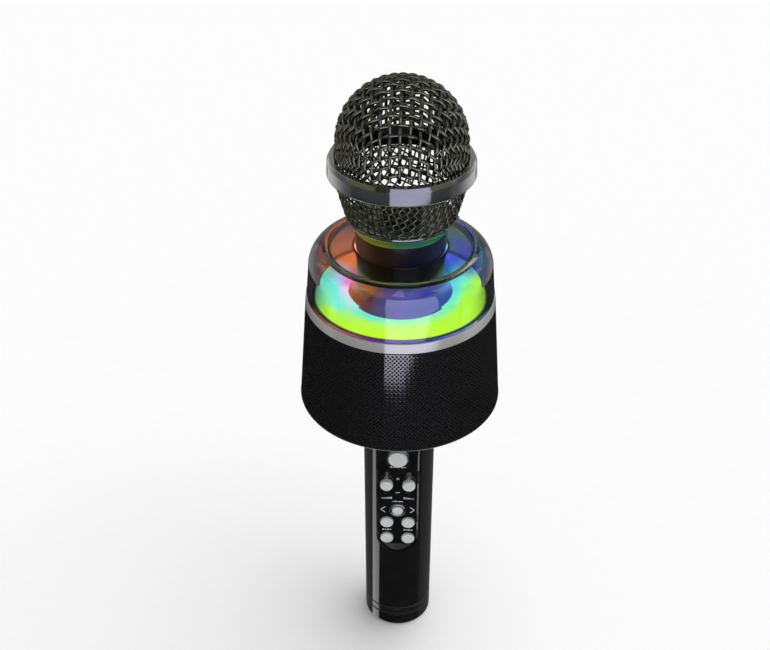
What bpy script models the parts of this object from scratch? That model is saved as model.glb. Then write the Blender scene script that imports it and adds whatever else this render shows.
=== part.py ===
"""Cordless karaoke microphone: woven grille head, lit dome, drum speaker and button handle.

Metres, +Z up. The origin is the centre of the end cap's flat face, on the long axis, and the
button panel faces -Y.
"""

import math

import bmesh
import bpy
from mathutils import Matrix, Vector

# ---- Driving dimensions ----------------------------------------------------------------------
GAP = 0.0003                 # clearance between pieces that touch on the real object
SMALL_GAP = 0.0002           # clearance between small electronic pieces
ROUND_LARGE = 32             # facets round the handle, drum, dome and grille
ROUND_HEAD = 28              # facets round the neck and the head
ROUND_MEDIUM = 20            # facets round the speaker pieces
ROUND_SMALL = 12             # facets round buttons and sockets
ROUND_TINY = 8               # facets round screws

HANDLE_R = 0.0156
HANDLE_WALL = 0.0015
HANDLE_TOP = 0.1395
END_CAP_TOP = 0.0068
TRIM_LOW = 0.0073
TRIM_HIGH = 0.0111
SHELL_LOW = 0.0116
EDGE = 0.00025               # small softened edge on turned pieces

PANEL_LOW = 0.0500           # lowest and highest points of the window for the button panel
PANEL_HIGH = 0.1256
PANEL_HALF = 0.00965
PANEL_END = 0.0073           # height of each rounded end of the window
PANEL_FACE = 0.0120          # distance of the panel's flat face from the axis
PANEL_BACK = 0.0108
PANEL_FLAT_LOW = 0.0522      # the flat face runs between these heights, then slopes out
PANEL_FLAT_HIGH = 0.1222
PANEL_FLAT_HALF = 0.0087

TOP_BUTTON = {"x": 0.0, "z": 0.1051, "r": 0.00415, "front": 0.0138}
POWER_BUTTON = {"x": 0.0, "z": 0.0739, "r": 0.00245, "front": 0.0132}
PAIR_X = 0.00485
PAIR_R = 0.00295
PAIR_FRONT = 0.0130
UPPER_PAIR_Z = 0.0662
LOWER_PAIR_Z = 0.0563
SLIDER_X = 0.00495
SLIDER_Z = 0.0902
SLIDER_SLOT = 0.0130         # length of each slot in the panel
SLIDER_SLOT_W = 0.0022
KNOB_R = 0.0028

BOARD_FRONT = 0.0080         # distance of the control board's front from the axis
BOARD_THICK = 0.0016
SWITCH_FRONT = 0.0094

BATTERY_R = 0.00915
BATTERY_Y = 0.0031
BATTERY_LOW = 0.0200
BATTERY_LENGTH = 0.0650

DRUM_LOW = 0.1344
DRUM_HIGH = 0.1804
DRUM_R_LOW = 0.0423
DRUM_R_HIGH = 0.03858
GRILLE_SHEET = 0.0008
RING_HIGH = 0.18466
RING_R_HIGH = 0.0382

SPEAKER_Z = 0.1683           # underside of the speaker's mounting flange

FLOOR_TOP = 0.1847
DOME_LOW = 0.1850
DOME_R_LOW = 0.03785
DOME_R_SHOULDER = 0.0368
DOME_TOP = 0.2062
DOME_FILLET_R = 0.00755
DOME_FILLET_Z = 0.00927
DOME_WALL = 0.0016
PLATE_R = 0.0288
PLATE_HOLE = 0.0189

NECK_TOP = 0.2140
COLLAR_R = 0.0189
COLLAR_TOP = 0.2176
BASE_RING_R = 0.0207
BASE_RING_Z = 0.2190

BOWL_LOW = 0.2206
BOWL_R_LOW = 0.0221
BOWL_HIGH = 0.2365
BOWL_R_HIGH = 0.0260
BAND_R = 0.0284
BAND_LOW = 0.2368
BAND_HIGH = 0.24455
BALL_R = 0.0254
BALL_Z = 0.2501
BALL_HEIGHT = 0.0250
MESH_WALL = 0.0012


# ---- Modelling functions ---------------------------------------------------------------------
def clear_scene():
    """Remove every object, so that the file can be run again."""
    for existing in list(bpy.data.objects):
        bpy.data.objects.remove(existing, do_unlink=True)


def finish_material(name, colour, roughness, metallic=0.0, alpha=1.0, glow=0.0):
    """Return a Principled BSDF material of one colour."""
    material = bpy.data.materials.new(name)
    material.use_nodes = True
    shader = material.node_tree.nodes["Principled BSDF"]
    shader.inputs["Base Color"].default_value = (*colour, 1.0)
    shader.inputs["Roughness"].default_value = roughness
    shader.inputs["Metallic"].default_value = metallic
    shader.inputs["Alpha"].default_value = alpha
    if glow > 0.0:
        shader.inputs["Emission Color"].default_value = (*colour, 1.0)
        shader.inputs["Emission Strength"].default_value = glow
    return material


def add_object(name, bm, finish, location=(0.0, 0.0, 0.0), rotation=(0.0, 0.0, 0.0)):
    """Turn a bmesh into a named, smooth-shaded object with its own material."""
    bmesh.ops.recalc_face_normals(bm, faces=bm.faces)
    mesh = bpy.data.meshes.new(name)
    bm.to_mesh(mesh)
    bm.free()
    mesh.shade_smooth()
    mesh.set_sharp_from_angle(angle=math.radians(32.0))
    piece = bpy.data.objects.new(name, mesh)
    bpy.context.scene.collection.objects.link(piece)
    piece.location = location
    piece.rotation_euler = rotation
    if finish is not None:
        mesh.materials.append(finish_material(name, **finish))
    return piece


def arc(centre_r, centre_z, radius_r, radius_z, start, end, steps):
    """Return points along an elliptical arc in the profile plane, angles in degrees."""
    points = []
    for step in range(steps + 1):
        angle = math.radians(start + (end - start) * step / steps)
        point = (centre_r + radius_r * math.cos(angle), centre_z + radius_z * math.sin(angle))
        points.append(point)
    return points


def spun_bmesh(outline, facets):
    """Spin a profile of (radius, height) points round Z into a closed body."""
    bm = bmesh.new()
    verts = [bm.verts.new((radius, 0.0, height)) for radius, height in outline]
    for first, second in zip(verts, verts[1:]):
        bm.edges.new((first, second))
    on_axis = outline[0][0] == 0.0 and outline[-1][0] == 0.0
    if not on_axis:
        bm.edges.new((verts[-1], verts[0]))
    bmesh.ops.spin(
        bm,
        geom=bm.verts[:] + bm.edges[:],
        axis=(0.0, 0.0, 1.0),
        cent=(0.0, 0.0, 0.0),
        angle=2.0 * math.pi,
        steps=facets,
        use_merge=True,
    )
    bmesh.ops.remove_doubles(bm, verts=bm.verts, dist=1e-6)
    return bm


def turned(name, outline, facets, finish, centre=(0.0, 0.0, 0.0)):
    """A turned piece standing on Z."""
    return add_object(name, spun_bmesh(outline, facets), finish, location=centre)


def turned_forward(name, outline, facets, finish, x, z):
    """A turned piece whose axis points to -Y, with heights counted from the long axis."""
    bm = spun_bmesh(outline, facets)
    return add_object(name, bm, finish, location=(x, 0.0, z), rotation=(math.pi / 2.0, 0.0, 0.0))


def turned_backward(name, outline, facets, finish, x, z):
    """A turned piece whose axis points to +Y, with heights counted from the long axis."""
    bm = spun_bmesh(outline, facets)
    return add_object(name, bm, finish, location=(x, 0.0, z), rotation=(-math.pi / 2.0, 0.0, 0.0))


def box_bmesh(low, high):
    """A closed box between two corners."""
    bm = bmesh.new()
    bmesh.ops.create_cube(bm, size=1.0)
    size = Vector(high) - Vector(low)
    middle = (Vector(high) + Vector(low)) / 2.0
    bmesh.ops.transform(bm, matrix=Matrix.Diagonal((*size, 1.0)), verts=bm.verts)
    bmesh.ops.translate(bm, vec=middle, verts=bm.verts)
    return bm


def block(name, low, high, finish, edge=0.0):
    """A box-shaped piece, its edges bevelled where edge is given."""
    piece = add_object(name, box_bmesh(low, high), finish)
    if edge > 0.0:
        bevel = piece.modifiers.new("soft_edges", "BEVEL")
        bevel.width = edge
        bevel.segments = 1
    return piece


def extruded_y(outline, near, far):
    """Extrude an outline of (x, z) points along Y between two distances in front of the axis."""
    bm = bmesh.new()
    verts = [bm.verts.new((x, -near, z)) for x, z in outline]
    face = bm.faces.new(verts)
    grown = bmesh.ops.extrude_face_region(bm, geom=[face])
    moved = [item for item in grown["geom"] if isinstance(item, bmesh.types.BMVert)]
    bmesh.ops.translate(bm, vec=(0.0, near - far, 0.0), verts=moved)
    return bm


def tool(name, bm, location=(0.0, 0.0, 0.0), rotation=(0.0, 0.0, 0.0)):
    """A hidden body that only cuts or joins."""
    piece = add_object(name, bm, None, location, rotation)
    piece.hide_render = True
    piece.display_type = "WIRE"
    return piece


def combine(piece, other, operation):
    """Add an exact Boolean to a piece."""
    modifier = piece.modifiers.new(other.name, "BOOLEAN")
    modifier.solver = "EXACT"
    modifier.operation = operation
    modifier.object = other


def rod(radius, low, high, facets):
    """A plain closed rod on Z, used as a tool."""
    return spun_bmesh([(0.0, high), (radius, high), (radius, low), (0.0, low)], facets)


def slot_outline(x, z, width, length, steps=6):
    """A slot with round ends, as (x, z) points."""
    half = width / 2.0
    straight = length / 2.0 - half
    upper = arc(x, z + straight, half, half, 0.0, 180.0, steps)
    lower = arc(x, z - straight, half, half, 180.0, 360.0, steps)
    return upper + lower


def window_outline(inset):
    """The panel's outline: straight sides and shallow elliptical ends."""
    half = PANEL_HALF - inset
    end = PANEL_END - inset
    upper = arc(0.0, PANEL_HIGH - PANEL_END, half, end, 0.0, 180.0, 16)
    lower = arc(0.0, PANEL_LOW + PANEL_END, half, end, 180.0, 360.0, 16)
    return upper + lower


# ---- Finishes --------------------------------------------------------------------------------
GLOSS_BLACK = {"colour": (0.012, 0.012, 0.013), "roughness": 0.12}
SATIN_BLACK = {"colour": (0.015, 0.015, 0.016), "roughness": 0.45}
BUTTON_GREY = {"colour": (0.56, 0.57, 0.57), "roughness": 0.35}
CHROME = {"colour": (0.75, 0.76, 0.78), "roughness": 0.1, "metallic": 1.0}
BLACK_CHROME = {"colour": (0.09, 0.09, 0.10), "roughness": 0.12, "metallic": 1.0}
WIRE_BLACK = {"colour": (0.05, 0.05, 0.05), "roughness": 0.3, "metallic": 1.0}
SILVER = {"colour": (0.50, 0.50, 0.49), "roughness": 0.35, "metallic": 0.6}
SMOKED = {"colour": (0.05, 0.05, 0.055), "roughness": 0.05, "alpha": 0.35}
GLOW_FLOOR = {"colour": (0.45, 0.95, 0.35), "roughness": 0.4, "glow": 1.0}
GLOW_COLUMN = {"colour": (0.20, 0.15, 0.55), "roughness": 0.3, "glow": 0.6}
BOARD_GREEN = {"colour": (0.02, 0.16, 0.07), "roughness": 0.4}
STEEL = {"colour": (0.55, 0.55, 0.56), "roughness": 0.3, "metallic": 1.0}
FERRITE = {"colour": (0.06, 0.06, 0.06), "roughness": 0.7}
PAPER = {"colour": (0.03, 0.03, 0.03), "roughness": 0.85}
SOFT_RUBBER = {"colour": (0.02, 0.02, 0.02), "roughness": 0.7}
COPPER = {"colour": (0.72, 0.35, 0.18), "roughness": 0.35, "metallic": 1.0}
SPIDER_CLOTH = {"colour": (0.55, 0.38, 0.16), "roughness": 0.9}
CELL_WRAP = {"colour": (0.06, 0.28, 0.45), "roughness": 0.35}


# ---- Handle ----------------------------------------------------------------------------------
def build_end_cap():
    """Turned cap that screws into the foot of the handle and seats the battery spring."""
    spigot_r = HANDLE_R - HANDLE_WALL - 0.0004
    spigot_top = 0.0145
    well_r = spigot_r - 0.0014
    well_floor = 0.0030
    foot = arc(HANDLE_R - 0.0011, 0.0011, 0.0011, 0.0011, 0.0, -90.0, 3)
    outline = [(0.0, well_floor), (well_r, well_floor), (well_r, spigot_top)]
    outline += [(spigot_r, spigot_top), (spigot_r, END_CAP_TOP), (HANDLE_R - EDGE, END_CAP_TOP)]
    outline += [(HANDLE_R, END_CAP_TOP - EDGE)] + foot + [(0.0, 0.0)]
    turned("end_cap", outline, ROUND_LARGE, GLOSS_BLACK)


def build_trim_ring():
    """Loose ring between the end cap and the shell."""
    inner = HANDLE_R - HANDLE_WALL
    outline = [(inner, TRIM_HIGH), (HANDLE_R - EDGE, TRIM_HIGH), (HANDLE_R, TRIM_HIGH - EDGE)]
    outline += [(HANDLE_R, TRIM_LOW + EDGE), (HANDLE_R - EDGE, TRIM_LOW), (inner, TRIM_LOW)]
    turned("trim_ring", outline, ROUND_LARGE, SATIN_BLACK)


CHARGE_Z = 0.1120
CHARGE_HALF_W = 0.0042
CHARGE_HALF_H = 0.0016
JACK_Z = 0.0990
JACK_R = 0.0030
PORT_REACH = 0.0152          # how far the two sockets reach behind the axis


def build_handle_shell():
    """Tube with the panel window in front and two socket holes behind."""
    inner = HANDLE_R - HANDLE_WALL
    outline = [(inner, HANDLE_TOP), (HANDLE_R, HANDLE_TOP), (HANDLE_R, SHELL_LOW + EDGE)]
    outline += [(HANDLE_R - EDGE, SHELL_LOW), (inner, SHELL_LOW)]
    shell = turned("handle_shell", outline, ROUND_LARGE, GLOSS_BLACK)
    window = tool("panel_window_cutter", extruded_y(window_outline(0.0), 0.004, 0.020))
    combine(shell, window, "DIFFERENCE")
    clear = 0.0003
    low = (-CHARGE_HALF_W - clear, 0.008, CHARGE_Z - CHARGE_HALF_H - clear)
    high = (CHARGE_HALF_W + clear, 0.020, CHARGE_Z + CHARGE_HALF_H + clear)
    combine(shell, tool("charge_hole_cutter", box_bmesh(low, high)), "DIFFERENCE")
    jack_hole = rod(JACK_R + clear, 0.008, 0.020, ROUND_SMALL)
    turn = (-math.pi / 2.0, 0.0, 0.0)
    combine(shell, tool("jack_hole_cutter", jack_hole, (0.0, 0.0, JACK_Z), turn), "DIFFERENCE")


def panel_recess():
    """The frustum cut out of the panel: a flat floor, sloping sides and sloping ends."""
    depth = 0.005
    flare = 1.33 * depth
    bm = bmesh.new()
    bottom = []
    top = []
    corners = ((-1.0, PANEL_FLAT_LOW, -1.0), (1.0, PANEL_FLAT_LOW, -1.0))
    corners += ((1.0, PANEL_FLAT_HIGH, 1.0), (-1.0, PANEL_FLAT_HIGH, 1.0))
    for side, height, end in corners:
        bottom.append(bm.verts.new((side * PANEL_FLAT_HALF, -PANEL_FACE, height)))
        reach = (side * (PANEL_FLAT_HALF + flare), -PANEL_FACE - depth, height + end * depth)
        top.append(bm.verts.new(reach))
    bm.faces.new(bottom)
    bm.faces.new(top)
    for index in range(4):
        after = (index + 1) % 4
        bm.faces.new((bottom[index], bottom[after], top[after], top[index]))
    return bm


def all_buttons():
    """Every press button as (name, x, z, radius, front)."""
    rows = [
        ("top_button", TOP_BUTTON["x"], TOP_BUTTON["z"], TOP_BUTTON["r"], TOP_BUTTON["front"]),
        ("power_button", POWER_BUTTON["x"], POWER_BUTTON["z"], POWER_BUTTON["r"], POWER_BUTTON["front"]),
        ("previous_button", -PAIR_X, UPPER_PAIR_Z, PAIR_R, PAIR_FRONT),
        ("next_button", PAIR_X, UPPER_PAIR_Z, PAIR_R, PAIR_FRONT),
        ("mode_button", -PAIR_X, LOWER_PAIR_Z, PAIR_R, PAIR_FRONT),
        ("light_button", PAIR_X, LOWER_PAIR_Z, PAIR_R, PAIR_FRONT),
    ]
    return rows


def build_control_panel():
    """Insert that fills the window: flush rim, recessed flat face, holes and slots."""
    body = extruded_y(window_outline(GAP), PANEL_BACK, 0.018)
    panel = add_object("control_panel", body, SATIN_BLACK)
    skin = tool("panel_skin_tool", rod(HANDLE_R, 0.040, 0.136, ROUND_LARGE))
    combine(panel, skin, "INTERSECT")
    combine(panel, tool("panel_recess_cutter", panel_recess()), "DIFFERENCE")
    forward = (math.pi / 2.0, 0.0, 0.0)
    for name, x, z, radius, front in all_buttons():
        hole = rod(radius + 0.00025, 0.009, 0.0165, ROUND_SMALL)
        combine(panel, tool(name + "_hole_cutter", hole, (x, 0.0, z), forward), "DIFFERENCE")
    for side, name in ((-1.0, "volume"), (1.0, "echo")):
        outline = slot_outline(side * SLIDER_X, SLIDER_Z, SLIDER_SLOT_W, SLIDER_SLOT)
        cutter = tool(name + "_slot_cutter", extruded_y(outline, 0.009, 0.0165))
        combine(panel, cutter, "DIFFERENCE")


def build_buttons():
    """Press buttons: a domed cap, a retaining flange behind the panel and a foot."""
    flange_front = PANEL_BACK - GAP
    flange_back = flange_front - 0.0004
    foot_end = SWITCH_FRONT - 0.0002
    foot_r = 0.0009
    for name, x, z, radius, front in all_buttons():
        crown = arc(radius - 0.0006, front - 0.0006, 0.0006, 0.00045, 90.0, 0.0, 2)
        outline = [(0.0, front), (radius * 0.6, front - 0.00004)] + crown
        outline += [(radius, flange_front), (radius + 0.0006, flange_front)]
        outline += [(radius + 0.0006, flange_back), (foot_r, flange_back)]
        outline += [(foot_r, foot_end), (0.0, foot_end)]
        turned_forward(name, outline, ROUND_SMALL, BUTTON_GREY, x, z)


def build_bezels():
    """Bright rings round the two central buttons, glued to the panel's face."""
    seat = PANEL_FACE + 0.0001
    for button, name, inner, outer, rise in (
        (TOP_BUTTON, "top_button_bezel", 0.0045, 0.0051, 0.0006),
        (POWER_BUTTON, "power_button_bezel", 0.0028, 0.0038, 0.0007),
    ):
        middle = (inner + outer) / 2.0
        half = (outer - inner) / 2.0
        crown = arc(middle, seat + rise - half, half, half, 180.0, 0.0, 4)
        outline = [(inner, seat)] + crown + [(outer, seat)]
        turned_forward(name, outline, ROUND_SMALL, CHROME, button["x"], button["z"])


def build_switches():
    """Tactile switches on the board: square bodies with a hole that the button's foot enters."""
    half = 0.0022
    back = BOARD_FRONT + SMALL_GAP
    forward = (math.pi / 2.0, 0.0, 0.0)
    for name, x, z, radius, front in all_buttons():
        low = (x - half, -SWITCH_FRONT, z - half)
        high = (x + half, -back, z + half)
        switch = block(name.replace("_button", "_switch"), low, high, STEEL)
        hole = rod(0.0012, SWITCH_FRONT - 0.0009, SWITCH_FRONT + 0.001, ROUND_TINY)
        cutter = tool(name.replace("_button", "_foot_cutter"), hole, (x, 0.0, z), forward)
        combine(switch, cutter, "DIFFERENCE")


def build_sliders():
    """Two slide controls: body on the board, lever through the slot, and a round knob."""
    back = BOARD_FRONT + SMALL_GAP
    body_half = 0.0022
    body_front = 0.0098
    lever_half = 0.0005
    lever_top = 0.0112
    knob_back = PANEL_FACE + 0.0004
    knob_front = 0.0146
    for side, name in ((-1.0, "volume"), (1.0, "echo")):
        x = side * SLIDER_X
        low = (x - body_half, -body_front, SLIDER_Z - 0.0080)
        high = (x + body_half, -back, SLIDER_Z + 0.0080)
        body = block(name + "_slider_body", low, high, STEEL)
        track = slot_outline(x, SLIDER_Z, 0.0016, 0.0126)
        cutter = tool(name + "_track_cutter", extruded_y(track, 0.0088, 0.0110))
        combine(body, cutter, "DIFFERENCE")
        low = (-lever_half, -lever_top, -0.0010)
        high = (lever_half, -0.0091, 0.0010)
        lever = block(name + "_slider_lever", low, high, STEEL)
        lever.location = (x, 0.0, SLIDER_Z)
        stem_back = lever_top + SMALL_GAP
        stem_r = 0.0008
        crown = arc(KNOB_R - 0.0006, knob_front - 0.0006, 0.0006, 0.0005, 90.0, 0.0, 2)
        outline = [(0.0, knob_front)] + crown + [(KNOB_R, knob_back), (stem_r, knob_back)]
        outline += [(stem_r, stem_back), (0.0, stem_back)]
        turned_forward(name + "_knob", outline, ROUND_SMALL, BUTTON_GREY, x, SLIDER_Z)


def build_boards():
    """Control board behind the panel, and the small board that carries the two sockets."""
    back = BOARD_FRONT - BOARD_THICK
    block("control_board", (-0.0105, -BOARD_FRONT, 0.0480), (0.0105, -back, 0.1300), BOARD_GREEN)
    block("port_board", (-0.0090, 0.0070, 0.0920), (0.0090, 0.0082, 0.1220), BOARD_GREEN)


def build_battery():
    """Cylindrical cell, its plastic cradle and the spring that presses it home."""
    nub_low = BATTERY_LOW + BATTERY_LENGTH - 0.0012
    outline = [(0.0, nub_low + 0.0012), (0.0030, nub_low + 0.0012), (0.0030, nub_low)]
    outline += [(BATTERY_R - 0.0006, nub_low), (BATTERY_R, nub_low - 0.0006)]
    outline += [(BATTERY_R, BATTERY_LOW + 0.0006), (BATTERY_R - 0.0006, BATTERY_LOW)]
    outline += [(0.0, BATTERY_LOW)]
    turned("battery_cell", outline, ROUND_SMALL, CELL_WRAP, (0.0, BATTERY_Y, 0.0))

    cradle_r = BATTERY_R + 0.0015
    cradle_low = BATTERY_LOW - 0.0015
    cradle_high = BATTERY_LOW + BATTERY_LENGTH + 0.0015
    body = rod(cradle_r, cradle_low, cradle_high, ROUND_SMALL)
    cradle = add_object("battery_cradle", body, SATIN_BLACK, (0.0, BATTERY_Y, 0.0))
    front = box_bmesh((-0.02, -0.02, 0.0), (0.02, BATTERY_Y - 0.0020, 0.12))
    combine(cradle, tool("cradle_front_cutter", front), "DIFFERENCE")
    bay = rod(BATTERY_R + GAP, BATTERY_LOW - 0.0003, cradle_high - 0.0012, ROUND_SMALL)
    combine(cradle, tool("cradle_bay_cutter", bay, (0.0, BATTERY_Y, 0.0)), "DIFFERENCE")
    spring_hole = rod(0.0050, 0.0, BATTERY_LOW, ROUND_SMALL)
    hole = tool("cradle_spring_cutter", spring_hole, (0.0, BATTERY_Y, 0.0))
    combine(cradle, hole, "DIFFERENCE")

    turns = 4
    points_per_turn = 10
    wire_r = 0.0003
    coil_r = 0.0038
    low = 0.0030 + GAP + wire_r
    high = BATTERY_LOW - GAP - wire_r
    curve = bpy.data.curves.new("battery_spring", "CURVE")
    curve.dimensions = "3D"
    curve.bevel_depth = wire_r
    curve.bevel_resolution = 1
    curve.use_fill_caps = True
    spline = curve.splines.new("POLY")
    count = turns * points_per_turn
    spline.points.add(count)
    for index in range(count + 1):
        angle = 2.0 * math.pi * index / points_per_turn
        height = low + (high - low) * index / count
        x = coil_r * math.cos(angle)
        y = BATTERY_Y + coil_r * math.sin(angle)
        spline.points[index].co = (x, y, height, 1.0)
    curve.materials.append(finish_material("battery_spring", **STEEL))
    spring = bpy.data.objects.new("battery_spring", curve)
    bpy.context.scene.collection.objects.link(spring)


def build_sockets():
    """Charging socket and audio jack at the back of the handle."""
    seat = 0.0084
    low = (-CHARGE_HALF_W, seat, CHARGE_Z - CHARGE_HALF_H)
    high = (CHARGE_HALF_W, PORT_REACH - 0.0003, CHARGE_Z + CHARGE_HALF_H)
    socket = block("charge_socket", low, high, STEEL, 0.0004)
    low = (-CHARGE_HALF_W + 0.0005, 0.0100, CHARGE_Z - CHARGE_HALF_H + 0.0004)
    high = (CHARGE_HALF_W - 0.0005, 0.0200, CHARGE_Z + CHARGE_HALF_H - 0.0004)
    mouth = tool("charge_mouth_cutter", box_bmesh(low, high))
    combine(socket, mouth, "DIFFERENCE")
    low = (-0.0026, 0.0095, CHARGE_Z - 0.0003)
    high = (0.0026, 0.0140, CHARGE_Z + 0.0003)
    tongue = tool("charge_tongue_tool", box_bmesh(low, high))
    combine(socket, tongue, "UNION")
    bore = 0.0018
    outline = [(0.0, 0.0090), (bore, 0.0090), (bore, PORT_REACH), (JACK_R - 0.0003, PORT_REACH)]
    outline += [(JACK_R, PORT_REACH - 0.0003), (JACK_R, seat), (0.0, seat)]
    turned_backward("audio_jack", outline, ROUND_SMALL, SATIN_BLACK, 0.0, JACK_Z)


# ---- Drum speaker ----------------------------------------------------------------------------
def drum_radius(height):
    """Outer radius of the tapered drum at a height."""
    share = (DRUM_HIGH - height) / (DRUM_HIGH - DRUM_LOW)
    return DRUM_R_HIGH + (DRUM_R_LOW - DRUM_R_HIGH) * share


def build_drum_grille():
    """Perforated steel sleeve, modelled as a plain thin sleeve."""
    low = DRUM_LOW + 0.0013
    high = DRUM_HIGH - GAP
    r_low = drum_radius(low)
    r_high = drum_radius(high)
    outline = [(r_high - GRILLE_SHEET, high), (r_high, high), (r_low, low)]
    outline += [(r_low - GRILLE_SHEET, low)]
    turned("drum_grille", outline, ROUND_LARGE, SATIN_BLACK)


def build_drum_base():
    """Moulded disc that closes the drum and grips the handle with a collar."""
    hole = HANDLE_R + GAP
    rim_top = DRUM_LOW + 0.0010
    rim = arc(DRUM_R_LOW - 0.0024, rim_top, 0.0024, 0.0009, -90.0, 0.0, 3)
    spigot = drum_radius(DRUM_LOW) - GRILLE_SHEET - 0.0006
    outline = [(hole, 0.1420), (0.0186, 0.1420), (0.0186, 0.1370), (spigot, 0.1370)]
    outline += [(spigot, rim_top), (DRUM_R_LOW, rim_top)]
    outline += list(reversed(rim))[1:] + [(hole, DRUM_LOW + 0.0001)]
    turned("drum_base", outline, ROUND_LARGE, GLOSS_BLACK)


BAFFLE_LOW = 0.1660
BAFFLE_HIGH = 0.1680
SCREW_CIRCLE = 0.0300


def build_speaker_cage():
    """Cage inside the drum: a baffle on six posts over a foot ring."""
    foot_low = 0.1373
    outline = [(0.0258, BAFFLE_HIGH), (0.0368, BAFFLE_HIGH), (0.0368, foot_low)]
    outline += [(0.0346, foot_low), (0.0346, BAFFLE_LOW), (0.0258, BAFFLE_LOW)]
    cage = turned("speaker_cage", outline, ROUND_HEAD, SATIN_BLACK)
    for index in range(3):
        angle = math.pi * index / 3.0
        bm = box_bmesh((-0.0500, -0.0135, foot_low + 0.0030), (0.0500, 0.0135, BAFFLE_LOW - 0.0030))
        cutter = tool("cage_window_cutter_" + str(index + 1), bm, rotation=(0.0, 0.0, angle))
        combine(cage, cutter, "DIFFERENCE")
    for index in range(4):
        place = screw_place(index)
        hole = rod(0.0015, BAFFLE_LOW - 0.002, BAFFLE_HIGH + 0.002, ROUND_TINY)
        combine(cage, tool("cage_screw_cutter_" + str(index + 1), hole, place), "DIFFERENCE")


def screw_place(index):
    """Centre of one of the four speaker screws."""
    angle = math.pi / 4.0 + math.pi * index / 2.0
    return (SCREW_CIRCLE * math.cos(angle), SCREW_CIRCLE * math.sin(angle), 0.0)


def build_speaker():
    """Full-range driver facing up: basket, magnet, yoke, coil, cone, cap, surround, spider."""
    flange_top = SPEAKER_Z + 0.0012
    outline = [(0.0216, flange_top), (0.0327, flange_top), (0.0327, SPEAKER_Z)]
    outline += [(0.0252, SPEAKER_Z), (0.0176, 0.1562), (0.0176, 0.1545), (0.0074, 0.1545)]
    outline += [(0.0074, 0.1560), (0.0158, 0.1560), (0.0158, 0.1574), (0.0238, SPEAKER_Z - 0.0004)]
    outline += [(0.0238, SPEAKER_Z), (0.0216, SPEAKER_Z)]
    basket = turned("speaker_basket", outline, ROUND_MEDIUM, STEEL)
    for index in range(4):
        hole = rod(0.0015, SPEAKER_Z - 0.002, SPEAKER_Z + 0.004, ROUND_TINY)
        cutter = tool("basket_screw_cutter_" + str(index + 1), hole, screw_place(index))
        combine(basket, cutter, "DIFFERENCE")

    outline = [(0.0100, 0.1542), (0.0190, 0.1542), (0.0196, 0.1536), (0.0196, 0.1470)]
    outline += [(0.0190, 0.1464), (0.0100, 0.1464)]
    turned("speaker_magnet", outline, ROUND_MEDIUM, FERRITE)

    outline = [(0.0, 0.1560), (0.0060, 0.1560), (0.0060, 0.1461), (0.0185, 0.1461)]
    outline += [(0.0185, 0.1440), (0.0180, 0.1435), (0.0, 0.1435)]
    turned("speaker_yoke", outline, ROUND_MEDIUM, STEEL)

    outline = [(0.0065, 0.1625), (0.0069, 0.1625), (0.0069, 0.1500), (0.0065, 0.1500)]
    turned("voice_coil", outline, ROUND_MEDIUM, COPPER)

    cone_low = 0.1618
    cone_high = 0.1678
    outline = [(0.0208, cone_high + 0.0006), (0.0213, cone_high + 0.0006), (0.0213, cone_high)]
    outline += [(0.0078, cone_low), (0.0072, cone_low), (0.0072, cone_low + 0.0005)]
    turned("speaker_cone", outline, ROUND_MEDIUM, PAPER)

    cap_edge = 0.1628
    outer = arc(0.0, cap_edge, 0.0068, 0.0028, 90.0, 0.0, 4)
    inner = arc(0.0, cap_edge, 0.0064, 0.0024, 0.0, 90.0, 4)
    outline = [(0.0, cap_edge + 0.0028)] + outer[1:] + inner[:-1] + [(0.0, cap_edge + 0.0024)]
    turned("dust_cap", outline, ROUND_SMALL, PAPER)

    roll_z = flange_top + SMALL_GAP
    outer = arc(0.0237, roll_z + 0.0004, 0.0021, 0.0020, 180.0, 0.0, 4)
    inner = arc(0.0237, roll_z + 0.0004, 0.0017, 0.0016, 0.0, 180.0, 4)
    outline = outer + [(0.0278, roll_z + 0.0004), (0.0278, roll_z), (0.0254, roll_z)]
    outline += inner + [(0.0220, roll_z), (0.0216, roll_z)]
    turned("speaker_surround", outline, ROUND_MEDIUM, SOFT_RUBBER)

    upper = []
    lower = []
    waves = 4
    for index in range(waves + 1):
        radius = 0.0073 + (0.0152 - 0.0073) * index / waves
        height = 0.1590 + (0.0004 if index % 2 else -0.0004)
        upper.append((radius, height + 0.0004))
        lower.append((radius, height))
    turned("speaker_spider", upper + list(reversed(lower)), ROUND_SMALL, SPIDER_CLOTH)

    head_low = flange_top + 0.0001
    outline = [(0.0, head_low + 0.0013), (0.0020, head_low + 0.0012), (0.0024, head_low + 0.0006)]
    outline += [(0.0024, head_low), (0.0012, head_low), (0.0012, 0.1620), (0.0, 0.1612)]
    for index in range(4):
        name = "speaker_screw_" + str(index + 1)
        turned(name, outline, ROUND_TINY, STEEL, screw_place(index))


# ---- Lit dome --------------------------------------------------------------------------------
def build_silver_ring():
    """Aluminium ring between the drum and the dome."""
    inner = 0.0364
    outline = [(inner, RING_HIGH), (RING_R_HIGH - EDGE, RING_HIGH), (RING_R_HIGH, RING_HIGH - EDGE)]
    outline += [(DRUM_R_HIGH, DRUM_HIGH + EDGE), (DRUM_R_HIGH - EDGE, DRUM_HIGH), (inner, DRUM_HIGH)]
    turned("silver_ring", outline, ROUND_LARGE, SILVER)


TRAY_LOW = 0.1790
TRAY_FLOOR = 0.1803
LED_COUNT = 12


def build_light_tray():
    """Black tray that carries the LED board and the glowing floor."""
    outline = [(0.0349, 0.1843), (0.0361, 0.1843), (0.0361, TRAY_LOW), (0.0170, TRAY_LOW)]
    outline += [(0.0170, TRAY_FLOOR), (0.0349, TRAY_FLOOR)]
    turned("light_tray", outline, ROUND_LARGE, SATIN_BLACK)


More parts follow.
